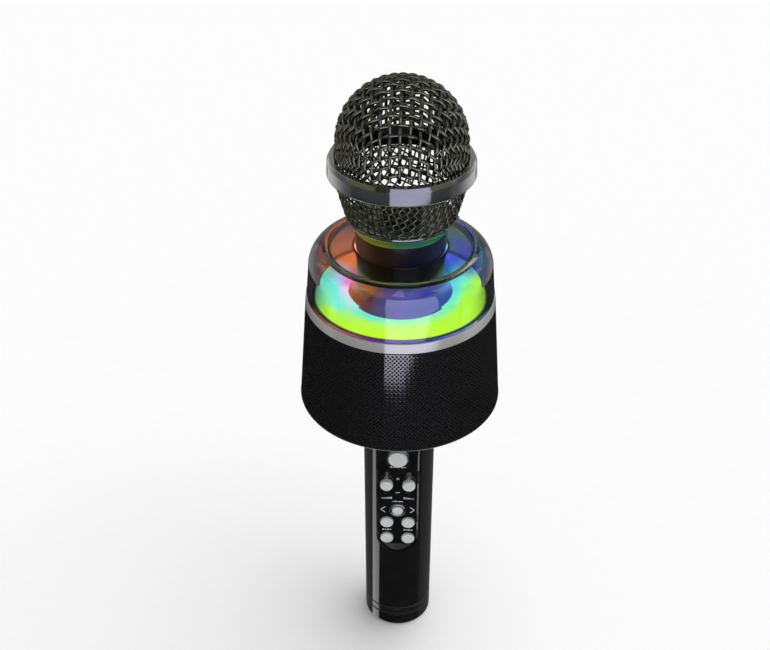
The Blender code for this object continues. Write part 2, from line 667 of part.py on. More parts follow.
def build_led_board():
    """Ring-shaped board with a circle of LED chips."""
    low = TRAY_FLOOR + GAP
    high = low + 0.0010
    outline = [(0.0216, high), (0.0345, high), (0.0345, low), (0.0216, low)]
    board = turned("led_board", outline, ROUND_MEDIUM, BOARD_GREEN)
    chips = bmesh.new()
    for index in range(LED_COUNT):
        angle = 2.0 * math.pi * index / LED_COUNT
        spin = Matrix.Rotation(angle, 4, "Z")
        made = bmesh.ops.create_cube(chips, size=1.0)
        size = Matrix.Diagonal((0.0035, 0.0035, 0.0014, 1.0))
        shift = Matrix.Translation((0.0280, 0.0, high + 0.0003))
        bmesh.ops.transform(chips, matrix=spin @ shift @ size, verts=made["verts"])
    combine(board, tool("led_chip_tool", chips), "UNION")


def build_light_floor():
    """Translucent annular floor that glows."""
    low = FLOOR_TOP - 0.0010
    outline = [(0.0211, FLOOR_TOP), (0.0343, FLOOR_TOP), (0.0346, FLOOR_TOP - EDGE)]
    outline += [(0.0346, low), (0.0211, low)]
    turned("light_floor", outline, ROUND_LARGE, GLOW_FLOOR)


def build_light_column():
    """Translucent neck with a flared foot, hollow for the wires."""
    inner = 0.0158
    outline = [(inner, NECK_TOP), (0.0181, NECK_TOP), (0.01795, 0.2070), (0.01775, 0.2065)]
    outline += [(0.01765, 0.1927), (0.0186, 0.1879), (0.0196, 0.1862)]
    outline += [(0.0208, 0.1850), (0.0208, 0.1840), (0.0204, 0.1840), (0.0204, TRAY_FLOOR + GAP)]
    outline += [(inner, TRAY_FLOOR + GAP)]
    turned("light_column", outline, ROUND_HEAD, GLOW_COLUMN)


def build_light_dome():
    """Smoked clear shell with a rounded shoulder and a lip for the top plate."""
    shoulder_z = DOME_TOP - DOME_FILLET_Z
    centre_r = DOME_R_SHOULDER - DOME_FILLET_R
    steps = 5
    outer = arc(centre_r, shoulder_z, DOME_FILLET_R, DOME_FILLET_Z, 0.0, 90.0, steps)
    thin_r = DOME_FILLET_R - DOME_WALL
    thin_z = DOME_FILLET_Z - DOME_WALL
    inner = arc(centre_r, shoulder_z, thin_r, thin_z, 82.0, 0.0, steps)
    lip = PLATE_R + GAP
    outline = [(DOME_R_LOW, DOME_LOW)] + outer + [(lip, DOME_TOP), (lip, DOME_TOP - 0.0016)]
    outline += [(lip - 0.0014, DOME_TOP - 0.0016), (lip - 0.0014, DOME_TOP - 0.0028)]
    outline += [(centre_r, DOME_TOP - 0.0028)]
    outline += inner[1:] + [(DOME_R_LOW - DOME_WALL, DOME_LOW)]
    turned("light_dome", list(reversed(outline)), ROUND_LARGE, SMOKED)


def build_top_plate():
    """Dark annular plate dropped into the dome's opening."""
    high = DOME_TOP - 0.0001
    low = high - 0.0012
    outline = [(PLATE_HOLE, high), (PLATE_R - EDGE, high), (PLATE_R, high - EDGE), (PLATE_R, low)]
    outline += [(PLATE_HOLE, low)]
    turned("dome_top_plate", outline, ROUND_LARGE, SMOKED)


# ---- Microphone head -------------------------------------------------------------------------
def build_neck_collar():
    """Chamfered collar that the head screws onto."""
    inner = 0.0158
    low = NECK_TOP + GAP
    outline = [(inner, COLLAR_TOP), (COLLAR_R - EDGE, COLLAR_TOP), (COLLAR_R, COLLAR_TOP - EDGE)]
    outline += [(COLLAR_R, 0.2166), (0.0181, low), (inner, low)]
    turned("neck_collar", outline, ROUND_HEAD, GLOSS_BLACK)


def build_grille_base():
    """Round foot of the head: a rolled rim, a floor and a socket for the capsule."""
    low = COLLAR_TOP + GAP
    socket_r = 0.0083
    socket_low = 0.2125
    roll = arc(BASE_RING_R - 0.0011, BASE_RING_Z, 0.0011, 0.0011, 90.0, -90.0, 4)
    outline = [(socket_r, 0.2195), (0.0180, 0.2195)] + roll + [(0.0155, low)]
    outline += [(0.0155, socket_low), (socket_r, socket_low)]
    turned("grille_base", outline, ROUND_HEAD, SATIN_BLACK)


def build_capsule():
    """Electret capsule in a rubber sleeve, low in the head."""
    gasket_low = 0.2130
    gasket_high = 0.2214
    bore = 0.0052
    outline = [(bore, gasket_high), (0.0080, gasket_high), (0.0080, gasket_low)]
    outline += [(bore - 0.0012, gasket_low), (bore - 0.0012, 0.2142), (bore, 0.2142)]
    turned("capsule_gasket", outline, ROUND_SMALL, SOFT_RUBBER)
    outline = [(0.0, 0.2219), (0.0044, 0.2219), (0.0049, 0.2215), (0.0049, 0.2146), (0.0, 0.2146)]
    turned("mic_capsule", outline, ROUND_SMALL, STEEL)


def build_lower_grille():
    """Bowl of woven wire, modelled as a thin shell."""
    outline = [(BOWL_R_HIGH - MESH_WALL, BOWL_HIGH), (BOWL_R_HIGH, BOWL_HIGH)]
    outline += [(0.0255, 0.2340), (0.0241, 0.2280), (BOWL_R_LOW, BOWL_LOW)]
    outline += [(BOWL_R_LOW - MESH_WALL, BOWL_LOW), (0.0241 - MESH_WALL, 0.2280)]
    outline += [(0.0255 - MESH_WALL, 0.2340)]
    turned("lower_grille", outline, ROUND_HEAD, WIRE_BLACK)


def build_grille_band():
    """Heavy ring that joins the bowl and the dome of the grille."""
    inner = 0.0250
    shoulder = 0.0270
    slope = 0.0017
    foot = 0.0010
    outline = [(inner, BAND_HIGH), (shoulder, BAND_HIGH), (BAND_R, BAND_HIGH - slope)]
    outline += [(BAND_R, BAND_LOW + foot), (shoulder, BAND_LOW), (inner, BAND_LOW)]
    turned("grille_band", outline, ROUND_LARGE, BLACK_CHROME)


def build_upper_grille():
    """Dome of woven wire, modelled as a thin shell that stands on the band."""
    low = BAND_HIGH + GAP
    steps = 7
    outer = arc(0.0, BALL_Z, BALL_R, BALL_HEIGHT, 90.0, 0.0, steps)
    thin_r = BALL_R - MESH_WALL
    thin_z = BALL_HEIGHT - MESH_WALL
    inner = arc(0.0, BALL_Z, thin_r, thin_z, 0.0, 90.0, steps)
    outline = [(0.0, BALL_Z + BALL_HEIGHT)] + outer[1:] + [(0.0259, low)]
    outline += [(0.0259 - MESH_WALL, low)] + inner[:-1] + [(0.0, BALL_Z + thin_z)]
    turned("upper_grille", outline, ROUND_HEAD, WIRE_BLACK)


def build_microphone():
    """Build every piece from the foot up."""
    clear_scene()
    build_end_cap()
    build_trim_ring()
    build_handle_shell()
    build_control_panel()
    build_buttons()
    build_bezels()
    build_switches()
    build_sliders()
    build_boards()
    build_battery()
    build_sockets()
    build_drum_grille()
    build_drum_base()
    build_speaker_cage()
    build_speaker()
    build_silver_ring()
    build_light_tray()
    build_led_board()
    build_light_floor()
    build_light_column()
    build_light_dome()
    build_top_plate()
    build_neck_collar()
    build_grille_base()
    build_capsule()
    build_lower_grille()
    build_grille_band()
    build_upper_grille()


build_microphone()
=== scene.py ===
"""Looks of the karaoke microphone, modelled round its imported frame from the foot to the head."""

import math

import bmesh
import bpy
from mathutils import Matrix, Vector


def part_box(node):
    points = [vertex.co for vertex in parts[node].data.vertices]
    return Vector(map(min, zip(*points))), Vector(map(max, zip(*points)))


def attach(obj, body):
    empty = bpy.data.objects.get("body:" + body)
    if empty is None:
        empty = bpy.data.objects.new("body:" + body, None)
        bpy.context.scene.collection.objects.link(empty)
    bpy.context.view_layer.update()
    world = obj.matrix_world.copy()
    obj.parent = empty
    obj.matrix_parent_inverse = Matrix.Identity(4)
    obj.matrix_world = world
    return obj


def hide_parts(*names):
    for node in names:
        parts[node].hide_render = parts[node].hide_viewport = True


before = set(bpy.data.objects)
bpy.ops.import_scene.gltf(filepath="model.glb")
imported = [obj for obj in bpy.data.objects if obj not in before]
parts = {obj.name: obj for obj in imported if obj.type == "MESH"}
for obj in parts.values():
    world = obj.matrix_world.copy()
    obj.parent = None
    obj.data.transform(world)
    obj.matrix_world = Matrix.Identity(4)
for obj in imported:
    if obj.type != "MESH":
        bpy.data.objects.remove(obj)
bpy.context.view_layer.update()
bpy.ops.object.select_all(action="DESELECT")

# ---- Studio ------------------------------------------------------------------------------------
# The microphone stands on a pale floor in an even white room. Its gloss mirrors a dark room with a
# broad softbox in front, a low narrow one on the left and grey light from behind.
CAMERA_TURN = math.radians(1.8)
CAMERA_REACH = 0.3706
CAMERA_HEIGHT = 0.4243
CAMERA_PITCH = math.radians(34.75)
CAMERA_AIM = math.radians(0.97)
LENS_MM = 51.06
SENSOR_MM = 36.0
FLOOR_SIZE = 6.0
KEY_PLACE = (0.43, 0.27, 0.75)
KEY_WIDTH = math.radians(85.0)
KEY_ENERGY = 2.25
BLACK_LEVEL = 0.012
# Grey zones of the mirrored room, in degrees: bearing to either side from and to, its blur, climb
# from and to, its blur, and the light that the zone adds.
GREY_ZONES = (
    (80.0, 150.0, 3.0, -27.5, 12.0, 0.6, 0.58), (84.0, 200.0, 6.0, -54.0, -40.0, 1.0, 0.1),
    (-10.0, 80.0, 3.0, -25.0, 12.0, 0.6, 0.4), (79.0, 150.0, 3.0, 12.0, 95.0, 3.0, 0.24),
    (58.0, 125.0, 3.0, 14.0, 60.0, 3.0, 1.2), (150.0, 200.0, 12.0, -27.5, 95.0, 1.0, 0.35),
    (-10.0, 200.0, 3.0, 70.0, 100.0, 8.0, 0.4))


def tone(red, green, blue):
    """Return a display colour, 0 to 255, as the linear colour that a shader socket takes."""
    linear = []
    for level in (red, green, blue):
        level = level / 255.0
        linear.append(level / 12.92 if level <= 0.04045 else ((level + 0.055) / 1.055) ** 2.4)
    return (*linear, 1.0)


def add_node(tree, kind, inputs=None, **settings):
    """Add a shader node, apply its settings, then link or fill the inputs that are named."""
    made = tree.nodes.new("ShaderNode" + kind)
    for key, value in settings.items():
        setattr(made, key, value)
    for key, value in (inputs or {}).items():
        if isinstance(value, bpy.types.NodeSocket):
            tree.links.new(value, made.inputs[key])
        else:
            made.inputs[key].default_value = value
    return made


def maths(tree, operation, first, second=0.0, third=0.0):
    """Add a Math node and return its value."""
    made = add_node(tree, "Math", {0: first, 1: second, 2: third}, operation=operation)
    return made.outputs["Value"]


def ease(tree, value, start, end, low=0.0, high=1.0):
    """Return low to high, eased while the value goes from start to end."""
    inputs = {"Value": value, "From Min": start, "From Max": end, "To Min": low, "To Max": high}
    made = add_node(tree, "MapRange", inputs, interpolation_type="SMOOTHSTEP")
    return made.outputs["Result"]


def blend(tree, factor, first, second, way="MIX"):
    """Mix two colours and return the result."""
    made = add_node(tree, "Mix", {"Factor": factor, 6: first, 7: second}, data_type="RGBA")
    made.blend_type = way
    return made.outputs[2]


world = bpy.data.worlds.new("studio_room")
bpy.context.scene.world = world
bpy.context.scene.view_settings.view_transform = "Standard"
world.use_nodes = True
world.cycles.sampling_method = "NONE"
room = world.node_tree
direction = add_node(room, "TexCoord").outputs["Generated"]
axes = add_node(room, "SeparateXYZ", {0: direction}).outputs
bearing = maths(room, "ARCTAN2", axes["X"], maths(room, "MULTIPLY", axes["Y"], -1.0))
climb = maths(room, "ARCSINE", axes["Z"])


def inside(value, start, end, blur):
    """Return 1 where a value lies between two angles in degrees, with blurred borders."""
    rise = ease(room, value, math.radians(start - blur), math.radians(start + blur))
    fall = ease(room, value, math.radians(end - blur), math.radians(end + blur), 1.0, 0.0)
    return maths(room, "MULTIPLY", rise, fall)


def zone(across, start, end, blur, low, high, climb_blur):
    """Return 1 inside a patch of the room, given its range across and its range of climb."""
    wide = inside(across, start, end, blur)
    return maths(room, "MULTIPLY", wide, inside(climb, low, high, climb_blur))


past_middle = maths(room, "MAXIMUM", maths(room, "SUBTRACT", bearing, math.radians(4.0)), 0.0)
foot = maths(room, "MULTIPLY_ADD", past_middle, 0.105, math.radians(-28.6))
above = ease(room, maths(room, "SUBTRACT", climb, foot), math.radians(-0.4), math.radians(0.4))
under = ease(room, climb, math.radians(29.0), math.radians(34.0), 1.0, 0.0)
box_height = maths(room, "MULTIPLY", above, under)
front_box = maths(room, "MULTIPLY", inside(bearing, -15.3, 46.0, 0.7), box_height)
slanted = maths(room, "SUBTRACT", maths(room, "SUBTRACT", bearing, climb), math.radians(42.4))
low_strip = zone(slanted, -95.0, -64.0, 1.5, -53.0, -38.5, 1.0)
mirrored = maths(room, "MULTIPLY_ADD", low_strip, 1.9, BLACK_LEVEL)
sideways = maths(room, "ABSOLUTE", bearing)
for *borders, light in GREY_ZONES:
    mirrored = maths(room, "MULTIPLY_ADD", zone(sideways, *borders), light, mirrored)
cool = add_node(room, "CombineXYZ", {0: mirrored, 1: mirrored, 2: mirrored}).outputs[0]
warm_top = zone(sideways, -10.0, 34.0, 5.0, 14.0, 75.0, 5.0)
olive_side = zone(sideways, 38.0, 84.0, 3.0, 12.0, 41.0, 1.0)
below = inside(climb, -95.0, -55.5, 1.0)
slim_low = zone(bearing, -2.4, -1.7, 0.1, 38.0, 47.0, 1.0)
slim_top = zone(bearing, -11.0, 8.0, 1.0, 48.5, 85.0, 1.0)
slim_top = maths(room, "MAXIMUM", slim_top, slim_low)
cool = blend(room, warm_top, cool, (0.30, 0.29, 0.14, 1.0))
cool = blend(room, olive_side, cool, (0.8, 0.78, 0.42, 1.0))
cool = blend(room, below, cool, (1.9, 2.05, 1.9, 1.0))
cool = blend(room, slim_top, cool, (1.8, 1.75, 2.1, 1.0))
gloss_light = blend(room, front_box, cool, (3.3, 3.2, 4.1, 1.0))
path = add_node(room, "LightPath").outputs
plain_light = blend(room, path["Is Camera Ray"], (0.42, 0.42, 0.42, 1.0), (1.0, 1.0, 1.0, 1.0))
seen = blend(room, path["Is Glossy Ray"], plain_light, gloss_light)
room.links.new(seen, room.nodes["Background"].inputs["Color"])

bpy.ops.mesh.primitive_grid_add(x_subdivisions=8, y_subdivisions=8, size=FLOOR_SIZE)
studio_floor = bpy.context.object
studio_floor.name = "studio_floor"
studio_floor.visible_glossy = False
floor_paper = bpy.data.materials.new("floor_paper")
floor_paper.use_nodes = True
paper_tree = floor_paper.node_tree
paper_grain = add_node(paper_tree, "TexNoise", {"Scale": 900.0, "Detail": 3.0}).outputs["Fac"]
paper_tone = blend(paper_tree, paper_grain, (0.955, 0.955, 0.955, 1.0), (0.985, 0.985, 0.985, 1.0))
paper = paper_tree.nodes["Principled BSDF"].inputs
paper_tree.links.new(paper_tone, paper["Base Color"])
paper["Roughness"].default_value = 0.9
paper["Specular IOR Level"].default_value = 0.1
studio_floor.data.materials.append(floor_paper)

bpy.ops.object.light_add(type="SUN", location=KEY_PLACE)
key = bpy.context.object
key.name = "key_softbox"
key.data.angle = KEY_WIDTH
key.data.energy = KEY_ENERGY
key.visible_glossy = False
key.rotation_euler = (-key.location).to_track_quat("-Z", "Y").to_euler()

lens = bpy.data.cameras.new("camera")
lens.lens = LENS_MM
lens.sensor_width = SENSOR_MM
lens.clip_start = 0.01
camera = bpy.data.objects.new("camera", lens)
bpy.context.scene.collection.objects.link(camera)
across = CAMERA_REACH * math.sin(CAMERA_TURN)
camera.location = (across, -CAMERA_REACH * math.cos(CAMERA_TURN), CAMERA_HEIGHT)
camera.rotation_euler = (math.radians(90.0) - CAMERA_PITCH, 0.0, CAMERA_TURN + CAMERA_AIM)
bpy.context.scene.camera = camera

# ---- End cap -----------------------------------------------------------------------------------
# Turned cap, lacquered black, that screws into the foot of the handle. Its wall is turned ring by
# ring from the rolled foot up, and fine upright ribs are rolled into the grip.
ROUND = 96


def pick(piece):
    """Select just one piece and make it the active one."""
    bpy.ops.object.select_all(action="DESELECT")
    piece.select_set(True)
    bpy.context.view_layer.objects.active = piece


def face_outwards():
    """Turn every face of the mesh being edited outwards and leave edit mode."""
    bpy.ops.mesh.select_all(action="SELECT")
    bpy.ops.mesh.normals_make_consistent(inside=False)
    bpy.ops.object.mode_set(mode="OBJECT")


def select_where(test):
    """Select just the vertices, and what lies between them, that pass a test on their place."""
    mesh = bmesh.from_edit_mesh(bpy.context.object.data)
    bpy.ops.mesh.select_all(action="DESELECT")
    for vert in mesh.verts:
        vert.select = bool(test(vert.co))
    mesh.select_flush_mode()
    bmesh.update_edit_mesh(bpy.context.object.data)


def rounded(centre_r, centre_z, radius_r, radius_z, start, end, steps):
    """Return (radius, height) points along an elliptical arc, its angles in degrees."""
    points = []
    for step in range(steps + 1):
        angle = math.radians(start + (end - start) * step / steps)
        height = centre_z + radius_z * math.sin(angle)
        points.append((centre_r + radius_r * math.cos(angle), height))
    return points


def turn_piece(name, outline, around=ROUND):
    """Turn a closed outline of (radius, height) points round Z, extruding it ring by ring."""
    bpy.ops.object.select_all(action="DESELECT")
    on_axis = outline[0][0] == 0.0
    rings = [point for point in outline if point[0] > 0.0]
    radius, height = rings[0]
    bpy.ops.mesh.primitive_circle_add(vertices=around, radius=radius, location=(0.0, 0.0, height))
    piece = bpy.context.object
    piece.name = name
    piece.data.name = name
    bpy.ops.object.transform_apply()
    bpy.ops.object.mode_set(mode="EDIT")
    bpy.ops.mesh.select_all(action="SELECT")
    for next_radius, next_height in rings[1:]:
        rise = (0.0, 0.0, next_height - height)
        bpy.ops.mesh.extrude_region_move(TRANSFORM_OT_translate={"value": rise})
        grow = next_radius / radius
        bpy.ops.transform.resize(value=(grow, grow, 1.0), center_override=(0.0, 0.0, next_height))
        radius = next_radius
        height = next_height
    if on_axis:
        close_end(outline[-1][1], radius)
        select_where(lambda place: abs(place.z - rings[0][1]) < 1e-7
                     and abs(math.hypot(place.x, place.y) - rings[0][0]) < 1e-6)
        close_end(outline[0][1], rings[0][0])
    else:
        bpy.ops.mesh.select_all(action="DESELECT")
        bpy.ops.mesh.select_non_manifold(use_wire=False)
        bpy.ops.mesh.bridge_edge_loops()
    face_outwards()
    return piece


def close_end(height, radius):
    """Close the selected ring with a fan of faces that meet on the axis."""
    bpy.ops.mesh.extrude_region_move()
    bpy.ops.transform.resize(value=(1e-3, 1e-3, 1.0), center_override=(0.0, 0.0, height))
    bpy.ops.mesh.merge(type="CENTER")
    mesh = bmesh.from_edit_mesh(bpy.context.object.data)
    for vert in mesh.verts:
        if vert.select:
            vert.co = (0.0, 0.0, height)
    bmesh.update_edit_mesh(bpy.context.object.data)


def soften(piece, width, segments=2, angle=30.0):
    """Round the edges of a piece that are sharper than an angle."""
    bpy.context.view_layer.objects.active = piece
    bevel = piece.modifiers.new("soft_edges", "BEVEL")
    bevel.width = width
    bevel.segments = segments
    bevel.limit_method = "ANGLE"
    bevel.angle_limit = math.radians(angle)
    bpy.ops.object.modifier_apply(modifier=bevel.name)
    return piece


def place_piece(piece, material, node=None, body="microphone", angle=35.0, even=True):
    """Shade a piece, give it its finish, and let it ride on its body for its CAD node."""
    pick(piece)
    bpy.ops.object.transform_apply()
    bpy.ops.object.shade_smooth_by_angle(angle=math.radians(angle))
    if even:
        weighted = piece.modifiers.new("even_shading", "WEIGHTED_NORMAL")
        weighted.keep_sharp = True
        bpy.ops.object.modifier_apply(modifier=weighted.name)
    piece.data.materials.clear()
    piece.data.materials.append(material)
    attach(piece, body)
    if node:
        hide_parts(node)


def new_group(name, inputs, outputs):
    """Start a shader node group with number inputs (name, value) and named outputs."""
    group = bpy.data.node_groups.new(name, "ShaderNodeTree")
    for label, value in inputs:
        socket = group.interface.new_socket(label, in_out="INPUT", socket_type="NodeSocketFloat")
        socket.default_value = value
    for label, kind in outputs:
        group.interface.new_socket(label, in_out="OUTPUT", socket_type="NodeSocket" + kind)
    start = group.nodes.new("NodeGroupInput")
    end = group.nodes.new("NodeGroupOutput")
    return group, start.outputs, end.inputs


grain_group, given, grain_out = new_group(
    "fine_grain", (("Scale", 3000.0),), (("Height", "Float"), ("Patches", "Float")))
spot = add_node(grain_group, "TexCoord").outputs["Object"]
fine = add_node(grain_group, "TexNoise", {"Vector": spot, "Scale": given["Scale"], "Detail": 2.0})
wide = add_node(grain_group, "TexNoise", {"Vector": spot, "Scale": 130.0, "Detail": 4.0})
grain_group.links.new(fine.outputs["Fac"], grain_out["Height"])
grain_group.links.new(ease(grain_group, wide.outputs["Fac"], 0.2, 0.8), grain_out["Patches"])

wear_group, given, wear_out = new_group("worn_edges", (("Width", 0.0003),), (("Mask", "Float"),))
flat_way = add_node(wear_group, "NewGeometry").outputs["Normal"]
round_way = add_node(wear_group, "Bevel", {"Radius": given["Width"]}, samples=4).outputs[0]
match = add_node(wear_group, "VectorMath", {0: flat_way, 1: round_way}, operation="DOT_PRODUCT")
bare = ease(wear_group, match.outputs["Value"], 0.995, 0.86)
chips = add_node(wear_group, "TexNoise", {"Scale": 700.0, "Detail": 5.0})
wear_group.links.new(add_node(wear_group, "TexCoord").outputs["Object"], chips.inputs["Vector"])
chipped = ease(wear_group, chips.outputs["Fac"], 0.42, 0.62)
wear_group.links.new(maths(wear_group, "MULTIPLY", bare, chipped), wear_out["Mask"])


def add_group(tree, group, **values):
    """Place a shared effect in a material, with its own values."""
    made = tree.nodes.new("ShaderNodeGroup")
    made.node_tree = group
    for key, value in values.items():
        made.inputs[key].default_value = value
    return made.outputs


def insides(material):
    """Return a material's node tree and the inputs of its Principled shader."""
    return material.node_tree, material.node_tree.nodes["Principled BSDF"].inputs


def start_finish(name, colour, roughness, metallic=0.0, **sockets):
    """Make a material with plain values on its Principled shader."""
    made = bpy.data.materials.new(name)
    made.use_nodes = True
    shader = insides(made)[1]
    shader["Base Color"].default_value = colour
    shader["Roughness"].default_value = roughness
    shader["Metallic"].default_value = metallic
    for key, value in sockets.items():
        shader[key.replace("_", " ")].default_value = value
    return made


def surfaced(name, colour, roughness, dark, light, roughs, scale, depth, metallic=0.0, wear=None,
             **sockets):
    """Make a finish that varies in patches, with worn edges and a fine grain."""
    made = start_finish(name, tone(*colour), roughness, metallic, **sockets)
    tree, shader = insides(made)
    grain = add_group(tree, grain_group, Scale=scale)
    shade = blend(tree, grain["Patches"], tone(*dark), tone(*light))
    if wear is not None:
        shade = blend(tree, add_group(tree, wear_group)["Mask"], shade, tone(*wear))
    tree.links.new(shade, shader["Base Color"])
    tree.links.new(ease(tree, grain["Patches"], 0.0, 1.0, *roughs), shader["Roughness"])
    bump = add_node(tree, "Bump", {"Height": grain["Height"], "Strength": 1.0, "Distance": depth})
    tree.links.new(bump.outputs["Normal"], shader["Normal"])
    return made


gloss_black = surfaced("gloss_black", (25, 25, 26), 0.1, (23, 23, 24), (27, 27, 28), (0.05, 0.1),
                       900.0, 2e-7, wear=(60, 60, 62))

handle_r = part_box("handle_shell")[1].x
cap_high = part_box("end_cap")[1]
shoulder_z = 0.0068
outline = [(0.0, 0.0030), (0.0123, 0.0030), (0.0123, cap_high.z), (0.0137, cap_high.z)]
outline += [(0.0137, shoulder_z), (handle_r - 0.0003, shoulder_z)]
outline += rounded(handle_r - 0.0003, shoulder_z - 0.0003, 0.0003, 0.0003, 90.0, 0.0, 3)[1:]
outline += rounded(handle_r - 0.0011, 0.0011, 0.0011, 0.0011, 0.0, -90.0, 6)
outline += [(0.0112, 0.0), (0.0108, 0.0003), (0.0104, 0.0003), (0.0100, 0.0), (0.0, 0.0)]
RIBS = 240


def rib_wall(piece, low_z, high_z, inner_r, depth):
    """Press every second column of a turned wall inwards, so that fine upright ribs stand on it."""
    bpy.context.view_layer.objects.active = piece
    bpy.ops.object.mode_set(mode="EDIT")
    select_where(lambda place: low_z < place.z < high_z and math.hypot(place.x, place.y) > inner_r
                 and round((math.atan2(place.y, place.x) / math.tau + 1.0) * RIBS) % 2 == 0)
    shrink = 1.0 - depth / inner_r
    bpy.ops.transform.resize(value=(shrink, shrink, 1.0), center_override=(0.0, 0.0, low_z))
    bpy.ops.object.mode_set(mode="OBJECT")


end_cap = turn_piece("end_cap_turned", outline, RIBS)
rib_wall(end_cap, 0.0010, 0.0066, handle_r - 0.0002, 0.00005)
place_piece(end_cap, gloss_black, "end_cap")

# ---- Trim ring ---------------------------------------------------------------------------------
# Moulded black ring that hides the joint between the cap and the handle. Fine upright ribs are
# rolled into it, so it glints in dots, and a narrow groove is left above and below it.
ring_low, ring_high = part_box("trim_ring")
groove = 0.00015
ring_low.z += groove
ring_high.z -= groove
inner = handle_r - 0.0015
outline = [(inner, ring_high.z)]
outline += rounded(handle_r - 0.0003, ring_high.z - 0.0003, 0.0003, 0.0003, 90.0, 0.0, 3)
outline += rounded(handle_r - 0.0003, ring_low.z + 0.0003, 0.0003, 0.0003, 0.0, -90.0, 3)
outline += [(inner, ring_low.z)]
trim_ring = turn_piece("trim_ring_turned", outline, RIBS)
rib_wall(trim_ring, ring_low.z + 0.0002, ring_high.z - 0.0002, handle_r - 0.0002, 0.00005)

satin_black = surfaced("satin_black", (26, 26, 27), 0.12, (24, 24, 25), (29, 29, 30), (0.1, 0.14),
                       4000.0, 1e-6, wear=(60, 60, 61))
place_piece(trim_ring, satin_black, "trim_ring")

# ---- Handle shell ------------------------------------------------------------------------------
# Aluminium tube under deep black lacquer, with a window cut for the button panel in front and two
# holes for the sockets behind.
shell_low, shell_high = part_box("handle_shell")
PANEL_END = 0.0073
PANEL_FACE = 0.0120
panel_low, panel_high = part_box("control_panel")
panel_gap = 0.0003


def middle_of(node):
    """Return the (x, z) of the middle of a node's box."""
    low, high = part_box(node)
    return (low.x + high.x) / 2.0, (low.z + high.z) / 2.0


def extruded_window(name, half, low, high, near, far, end=PANEL_END, corners=64):
    """Extrude an upright outline with elliptical ends between two distances before the axis."""
    bpy.ops.object.select_all(action="DESELECT")
    middle = (low + high) / 2.0
    turn = (math.radians(90.0), math.pi / corners, 0.0)
    bpy.ops.mesh.primitive_circle_add(vertices=corners, fill_type="NGON", rotation=turn,
                                      location=(0.0, -near, middle))
    piece = bpy.context.object
    piece.name = name
    bpy.ops.object.transform_apply()
    bpy.ops.object.mode_set(mode="EDIT")
    bpy.ops.mesh.select_all(action="SELECT")
    bpy.ops.transform.resize(value=(half, 1.0, end), center_override=(0.0, -near, middle))
    reach = (high - low) / 2.0 - end
    select_where(lambda place: place.z > middle)
    bpy.ops.transform.translate(value=(0.0, 0.0, reach))
    select_where(lambda place: place.z < middle)
    bpy.ops.transform.translate(value=(0.0, 0.0, -reach))
    bpy.ops.mesh.select_all(action="SELECT")
    bpy.ops.mesh.extrude_region_move(TRANSFORM_OT_translate={"value": (0.0, near - far, 0.0)})
    face_outwards()
    return piece


def cut_with(piece, cutter, operation="DIFFERENCE"):
    """Apply an exact Boolean with a cutter, then throw the cutter away."""
    bpy.ops.object.select_all(action="DESELECT")
    bpy.context.view_layer.objects.active = piece
    boolean = piece.modifiers.new("cut", "BOOLEAN")
    boolean.solver = "EXACT"
    boolean.operation = operation
    boolean.object = cutter
    bpy.ops.object.modifier_apply(modifier=boolean.name)
    bpy.data.objects.remove(cutter, do_unlink=True)
    return piece


def box_piece(name, low, high):
    """Add a box between two corners."""
    size = [far - near for near, far in zip(low, high)]
    middle = [(far + near) / 2.0 for near, far in zip(low, high)]
    bpy.ops.object.select_all(action="DESELECT")
    bpy.ops.mesh.primitive_cube_add(size=1.0, location=middle, scale=size)
    bpy.context.object.name = name
    bpy.ops.object.transform_apply()
    return bpy.context.object


def aim_piece(piece, x, z, backward=False):
    """Lay a piece turned on Z so that its axis points to the front, or the back, at a place."""
    piece.rotation_euler = (math.radians(-90.0 if backward else 90.0), 0.0, 0.0)
    piece.location = (x, 0.0, z)
    pick(piece)
    bpy.ops.object.transform_apply()
    return piece


outline = [(inner, shell_high.z), (handle_r, shell_high.z)]
outline += rounded(handle_r - 0.0003, shell_low.z + 0.0003, 0.0003, 0.0003, 0.0, -90.0, 3)
outline += [(inner, shell_low.z)]
shell = turn_piece("handle_shell_lacquered", outline, 192)
window_half = panel_high.x + panel_gap
window = extruded_window("window_cutter", window_half, panel_low.z - panel_gap,
                         panel_high.z + panel_gap, 0.004, 0.020)
cut_with(shell, window)
socket_low, socket_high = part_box("charge_socket")
jack_z = middle_of("audio_jack")[1]
port_gap = 0.0003
charge_hole = box_piece("charge_cutter", (socket_low.x - port_gap, 0.008, socket_low.z - port_gap),
                        (socket_high.x + port_gap, 0.020, socket_high.z + port_gap))
cut_with(shell, soften(charge_hole, 0.0009, 4, 80.0))
outline = [(0.0, 0.020), (0.0033, 0.020), (0.0033, 0.008), (0.0, 0.008)]
jack_hole = turn_piece("jack_cutter", outline, 48)
cut_with(shell, aim_piece(jack_hole, 0.0, jack_z, backward=True))
place_piece(shell, gloss_black, "handle_shell")

